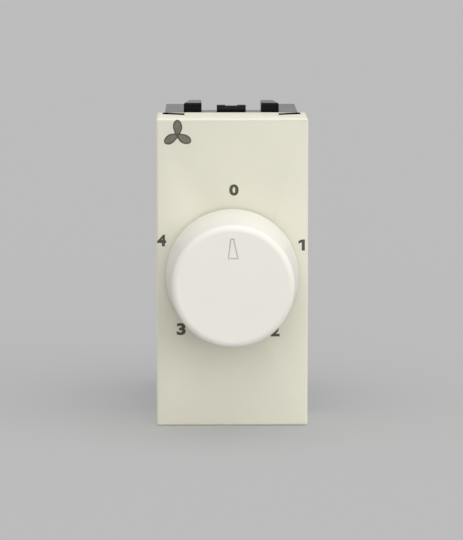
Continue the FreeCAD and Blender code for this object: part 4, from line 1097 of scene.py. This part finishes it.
class FANCONTROL_OT_capacitors(bpy.types.Operator):
    """Model the two film capacitors with rounded cases, potted fronts and leads."""

    bl_idname = "fancontrol.capacitors"
    bl_label = "Capacitors"

    def execute(self, context):
        sizes = context.scene.fan_parts
        # One lead with the meniscus of potting where it leaves the case
        rise = sizes.cap_standoff + sizes.cap_recess
        radius = sizes.cap_lead
        wire = lathe(
            [
                (-board_back, 0), (-board_back, radius), (rise * 0.6, radius),
                (rise * 0.85, radius * 1.2), (rise, radius * 1.9),
                (rise * 1.1, radius * 1.9), (rise * 1.1, 0),
            ],
            Vector((0, board_back, 0)), "Y", JOINT_SIDES,
        )
        paint(wire, ["tinned_wire"])
        for node in ("capacitor_large", "capacitor_small"):
            low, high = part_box(node)
            front = board_back + sizes.cap_standoff
            piece = block((low.x, front, low.z), high)
            edit(piece)
            bpy.ops.mesh.select_mode(type="EDGE")
            mesh = bmesh.from_edit_mesh(piece.data)
            for edge in mesh.edges:
                edge.select_set(abs(edge.verts[1].co.y - edge.verts[0].co.y) > TINY)
            bmesh.update_edit_mesh(piece.data)
            bpy.ops.mesh.bevel(offset=sizes.cap_corner, segments=6, affect="EDGES")
            # The back's edges are rounded, and the front is an open tray filled with potting
            pick_vertices(piece, lambda place: place.y > high.y - TINY)
            bpy.ops.mesh.bevel(offset=sizes.cap_corner / 2, segments=4, affect="EDGES")
            pick_vertices(piece, lambda place: place.y < front + TINY)
            bpy.ops.mesh.select_mode(type="FACE")
            bpy.ops.mesh.inset(thickness=sizes.cap_wall)
            extrude((0, sizes.cap_recess, 0))
            leave_edit()
            paint(piece, ["capacitor_case", "potting"])
            tray = front + sizes.cap_recess
            for face in piece.data.polygons:
                face.material_index = int(abs(face.center.y - tray) < TINY)
            for across in (low.x + sizes.cap_inset, high.x - sizes.cap_inset):
                lead = copy_of(wire)
                lead.location = (across, low.y - lead.bound_box[0][1], (low.z + high.z) / 2)
                set_in_place(lead)
                combine(piece, lead, "UNION")
            finish_piece(piece, node + "_potted", "case", replaced=[node])
        bpy.data.objects.remove(wire)
        return {"FINISHED"}


def board_joints(sizes):
    """Where wires come through the board's back, across and upright."""
    places = []
    low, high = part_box("step_contacts")
    # Off has no contact; the other positions' contacts lie on a circle
    step = math.tau / len(NUMBERS)
    circle = ((high.x - low.x) / 2 - sizes.contact_head) / math.sin(step)
    for number in range(1, len(NUMBERS)):
        angle = step * number
        places.append((circle * math.sin(angle), KNOB_AXIS.z + circle * math.cos(angle)))
    for node, span in (
        ("bleed_resistors", sizes.bleed_length), ("surge_resistors", sizes.surge_length)
    ):
        low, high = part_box(node)
        for row in (-1, 1):
            for side in (-1, 1):
                places.append((
                    (span / 2 + sizes.lead_reach) * side,
                    (low.z + high.z) / 2 + sizes.row / 2 * row,
                ))
    return places


class FANCONTROL_OT_board(bpy.types.Operator):
    """Model the copper tracks and the solder joints on the back of the board."""

    bl_idname = "fancontrol.board"
    bl_label = "Board"

    def execute(self, context):
        sizes = context.scene.fan_parts
        places = board_joints(sizes)
        radius = sizes.solder
        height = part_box("step_contacts")[1].y - board_back
        cone = lathe(
            [
                (0, 0), (0, radius), (height * 0.1, radius * 0.86),
                (height * 0.3, radius * 0.62), (height * 0.6, radius * 0.5),
                (height * 0.9, radius * 0.44), (height, radius * 0.25), (height, 0),
            ],
            Vector((0, board_back, 0)), "Y", JOINT_SIDES,
        )
        joints = []
        for x, z in places:
            joint = copy_of(cone)
            joint.location = (x, 0, z)
            joints.append(set_in_place(joint))
        bpy.data.objects.remove(cone)
        finish_piece(joined(joints), "solder_joints", "case", ["solder"])

        # Each track runs upright from one joint and then across to the other
        contacts, bleed, surge = places[:4], places[4:8], places[8:]
        half = sizes.track_width / 2
        top = board_back + sizes.track_rise
        tracks = []
        for (x, z), (to_x, to_z) in (
            (contacts[0], bleed[1]), (contacts[3], bleed[0]),
            (contacts[1], surge[3]), (contacts[2], surge[2]),
            (bleed[2], bleed[3]), (surge[0], surge[1]),
        ):
            track = block(
                (x - half, board_back, min(z, to_z) - half),
                (x + half, top, max(z, to_z) + half),
            )
            if abs(to_x - x) > half:
                across = block(
                    (min(x, to_x) - half, board_back, to_z - half),
                    (max(x, to_x) + half, top, to_z + half),
                )
                combine(track, across, "UNION")
            tracks.append(track)
        finish_piece(joined(tracks), "board_tracks", "case", ["track"])
        return {"FINISHED"}


class FANCONTROL_OT_finishes(bpy.types.Operator):
    """Give every CAD part the material of its own stuff."""

    bl_idname = "fancontrol.finishes"
    bl_label = "Finishes"

    def execute(self, context):
        make_materials(context.scene.fan_finishes)
        for part in frame["record"]["subparts"]:
            paint(frame["nodes"][part["node"]], [part["material_slot"]])
        return {"FINISHED"}


# The stage

GROUND_GAP = 0.02 * MM
CAMERA_SEES_FROM, CAMERA_SEES_TO = 0.01, 20

# The lights, the setting that holds their strength, and the direction they shine from
LIGHTS = (
    ("top_light", "top_power", Vector((0.1, -0.12, 0.97))),
    ("front_light", "front_power", Vector((0.1, -0.98, 0.15))),
    ("side_light", "side_power", Vector((0.85, -0.5, 0.2))),
)


def camera_rays_see(owner, seen, otherwise, share=1.0):
    """Shows one colour to the camera's own rays and to mirrors, and another to the light."""
    tree = owner.node_tree
    path = tree.nodes.new("ShaderNodeLightPath")
    either = tree.nodes.new("ShaderNodeMath")
    either.operation = "MAXIMUM"
    tree.links.new(path.outputs["Is Camera Ray"], either.inputs[0])
    tree.links.new(path.outputs["Is Glossy Ray"], either.inputs[1])
    part = tree.nodes.new("ShaderNodeMath")
    part.operation = "MULTIPLY"
    part.inputs[1].default_value = share
    tree.links.new(either.outputs[0], part.inputs[0])
    choice = tree.nodes.new("ShaderNodeMixShader")
    tree.links.new(part.outputs[0], choice.inputs[0])
    tree.links.new(otherwise, choice.inputs[1])
    tree.links.new(seen, choice.inputs[2])
    return choice.outputs[0]


class FANCONTROL_OT_stage(bpy.types.Operator):
    """Set the floor, the even light, the three lights and the camera."""

    bl_idname = "fancontrol.stage"
    bl_label = "Stage"

    def execute(self, context):
        sizes = context.scene.fan_stage
        scene = context.scene
        start_alone()
        bpy.ops.mesh.primitive_plane_add(
            size=sizes.floor_size, location=(0, 0, plate_low.z - GROUND_GAP)
        )
        floor = bpy.context.object
        floor.name = "floor"
        paper = Shader("floor_paper", tuple(sizes.floor), 0.9)
        paper.bump(paper.noise(0.8, 3), 0.01)
        glow = paper.nodes.new("ShaderNodeEmission")
        glow.inputs["Color"].default_value = (*sizes.backdrop, 1)
        shown = camera_rays_see(
            paper.material, glow.outputs[0], paper.surface.outputs[0], sizes.clean
        )
        paper.links.new(shown, paper.nodes["Material Output"].inputs["Surface"])
        floor.data.materials.append(paper.material)

        world = bpy.data.worlds.new("studio")
        world.use_nodes = True
        scene.world = world
        tree = world.node_tree
        even = tree.nodes["Background"]
        even.inputs["Color"].default_value = (1, 1, 1, 1)
        even.inputs["Strength"].default_value = sizes.sky_power
        behind = tree.nodes.new("ShaderNodeBackground")
        behind.inputs["Color"].default_value = (*sizes.backdrop, 1)
        shown = camera_rays_see(world, behind.outputs[0], even.outputs[0])
        tree.links.new(shown, tree.nodes["World Output"].inputs["Surface"])

        for name, power, towards in LIGHTS:
            bpy.ops.object.light_add(type="SUN", location=towards)
            light = bpy.context.object
            light.name = name
            light.data.energy = getattr(sizes, power)
            light.data.angle = sizes.spread
            light.rotation_euler = towards.to_track_quat("Z", "Y").to_euler()

        aim = Vector((sizes.aim_x, FACE_Y, sizes.aim_z))
        level = math.cos(sizes.elevation)
        back = Vector((
            math.sin(sizes.azimuth) * level,
            -math.cos(sizes.azimuth) * level,
            math.sin(sizes.elevation),
        ))
        bpy.ops.object.camera_add(location=aim + back * sizes.distance)
        camera = bpy.context.object
        camera.name = "camera"
        camera.rotation_euler = back.to_track_quat("Z", "Y").to_euler()
        camera.data.lens = sizes.lens
        camera.data.clip_start = CAMERA_SEES_FROM
        camera.data.clip_end = CAMERA_SEES_TO
        scene.camera = camera
        scene.view_settings.view_transform = "Standard"
        return {"FINISHED"}


class FANCONTROL_PT_panel(bpy.types.Panel):
    """Sizes, colours and steps of the fan speed control."""

    bl_label = "Fan Control"
    bl_idname = "FANCONTROL_PT_panel"
    bl_space_type = "VIEW_3D"
    bl_region_type = "UI"
    bl_category = "Fan Control"

    def draw(self, context):
        layout = self.layout
        for step in STEPS:
            layout.operator(step.bl_idname)
        for place, group in SETTINGS.items():
            box = layout.box()
            for name in group.__annotations__:
                box.prop(getattr(context.scene, place), name)


SETTINGS = {
    "fan_knob": KnobSizes,
    "fan_windows": WindowSizes,
    "fan_print": PrintSizes,
    "fan_parts": PartSizes,
    "fan_finishes": Finishes,
    "fan_stage": StageSizes,
}
STEPS = (
    FANCONTROL_OT_finishes,
    FANCONTROL_OT_shells,
    FANCONTROL_OT_knob,
    FANCONTROL_OT_numbers,
    FANCONTROL_OT_symbol,
    FANCONTROL_OT_screws,
    FANCONTROL_OT_resistors,
    FANCONTROL_OT_capacitors,
    FANCONTROL_OT_board,
    FANCONTROL_OT_stage,
)
CLASSES = (*SETTINGS.values(), *STEPS, FANCONTROL_PT_panel)


def register():
    for made in CLASSES:
        bpy.utils.register_class(made)
    for place, group in SETTINGS.items():
        setattr(bpy.types.Scene, place, PointerProperty(type=group))


def unregister():
    for place in SETTINGS:
        delattr(bpy.types.Scene, place)
    for made in reversed(CLASSES):
        bpy.utils.unregister_class(made)


def main():
    register()
    bpy.ops.fancontrol.finishes()
    bpy.ops.fancontrol.shells()
    bpy.ops.fancontrol.knob()
    bpy.ops.fancontrol.numbers()
    bpy.ops.fancontrol.symbol()
    bpy.ops.fancontrol.screws()
    bpy.ops.fancontrol.resistors()
    bpy.ops.fancontrol.capacitors()
    bpy.ops.fancontrol.board()
    bpy.ops.fancontrol.stage()


if __name__ == "__main__":
    main()
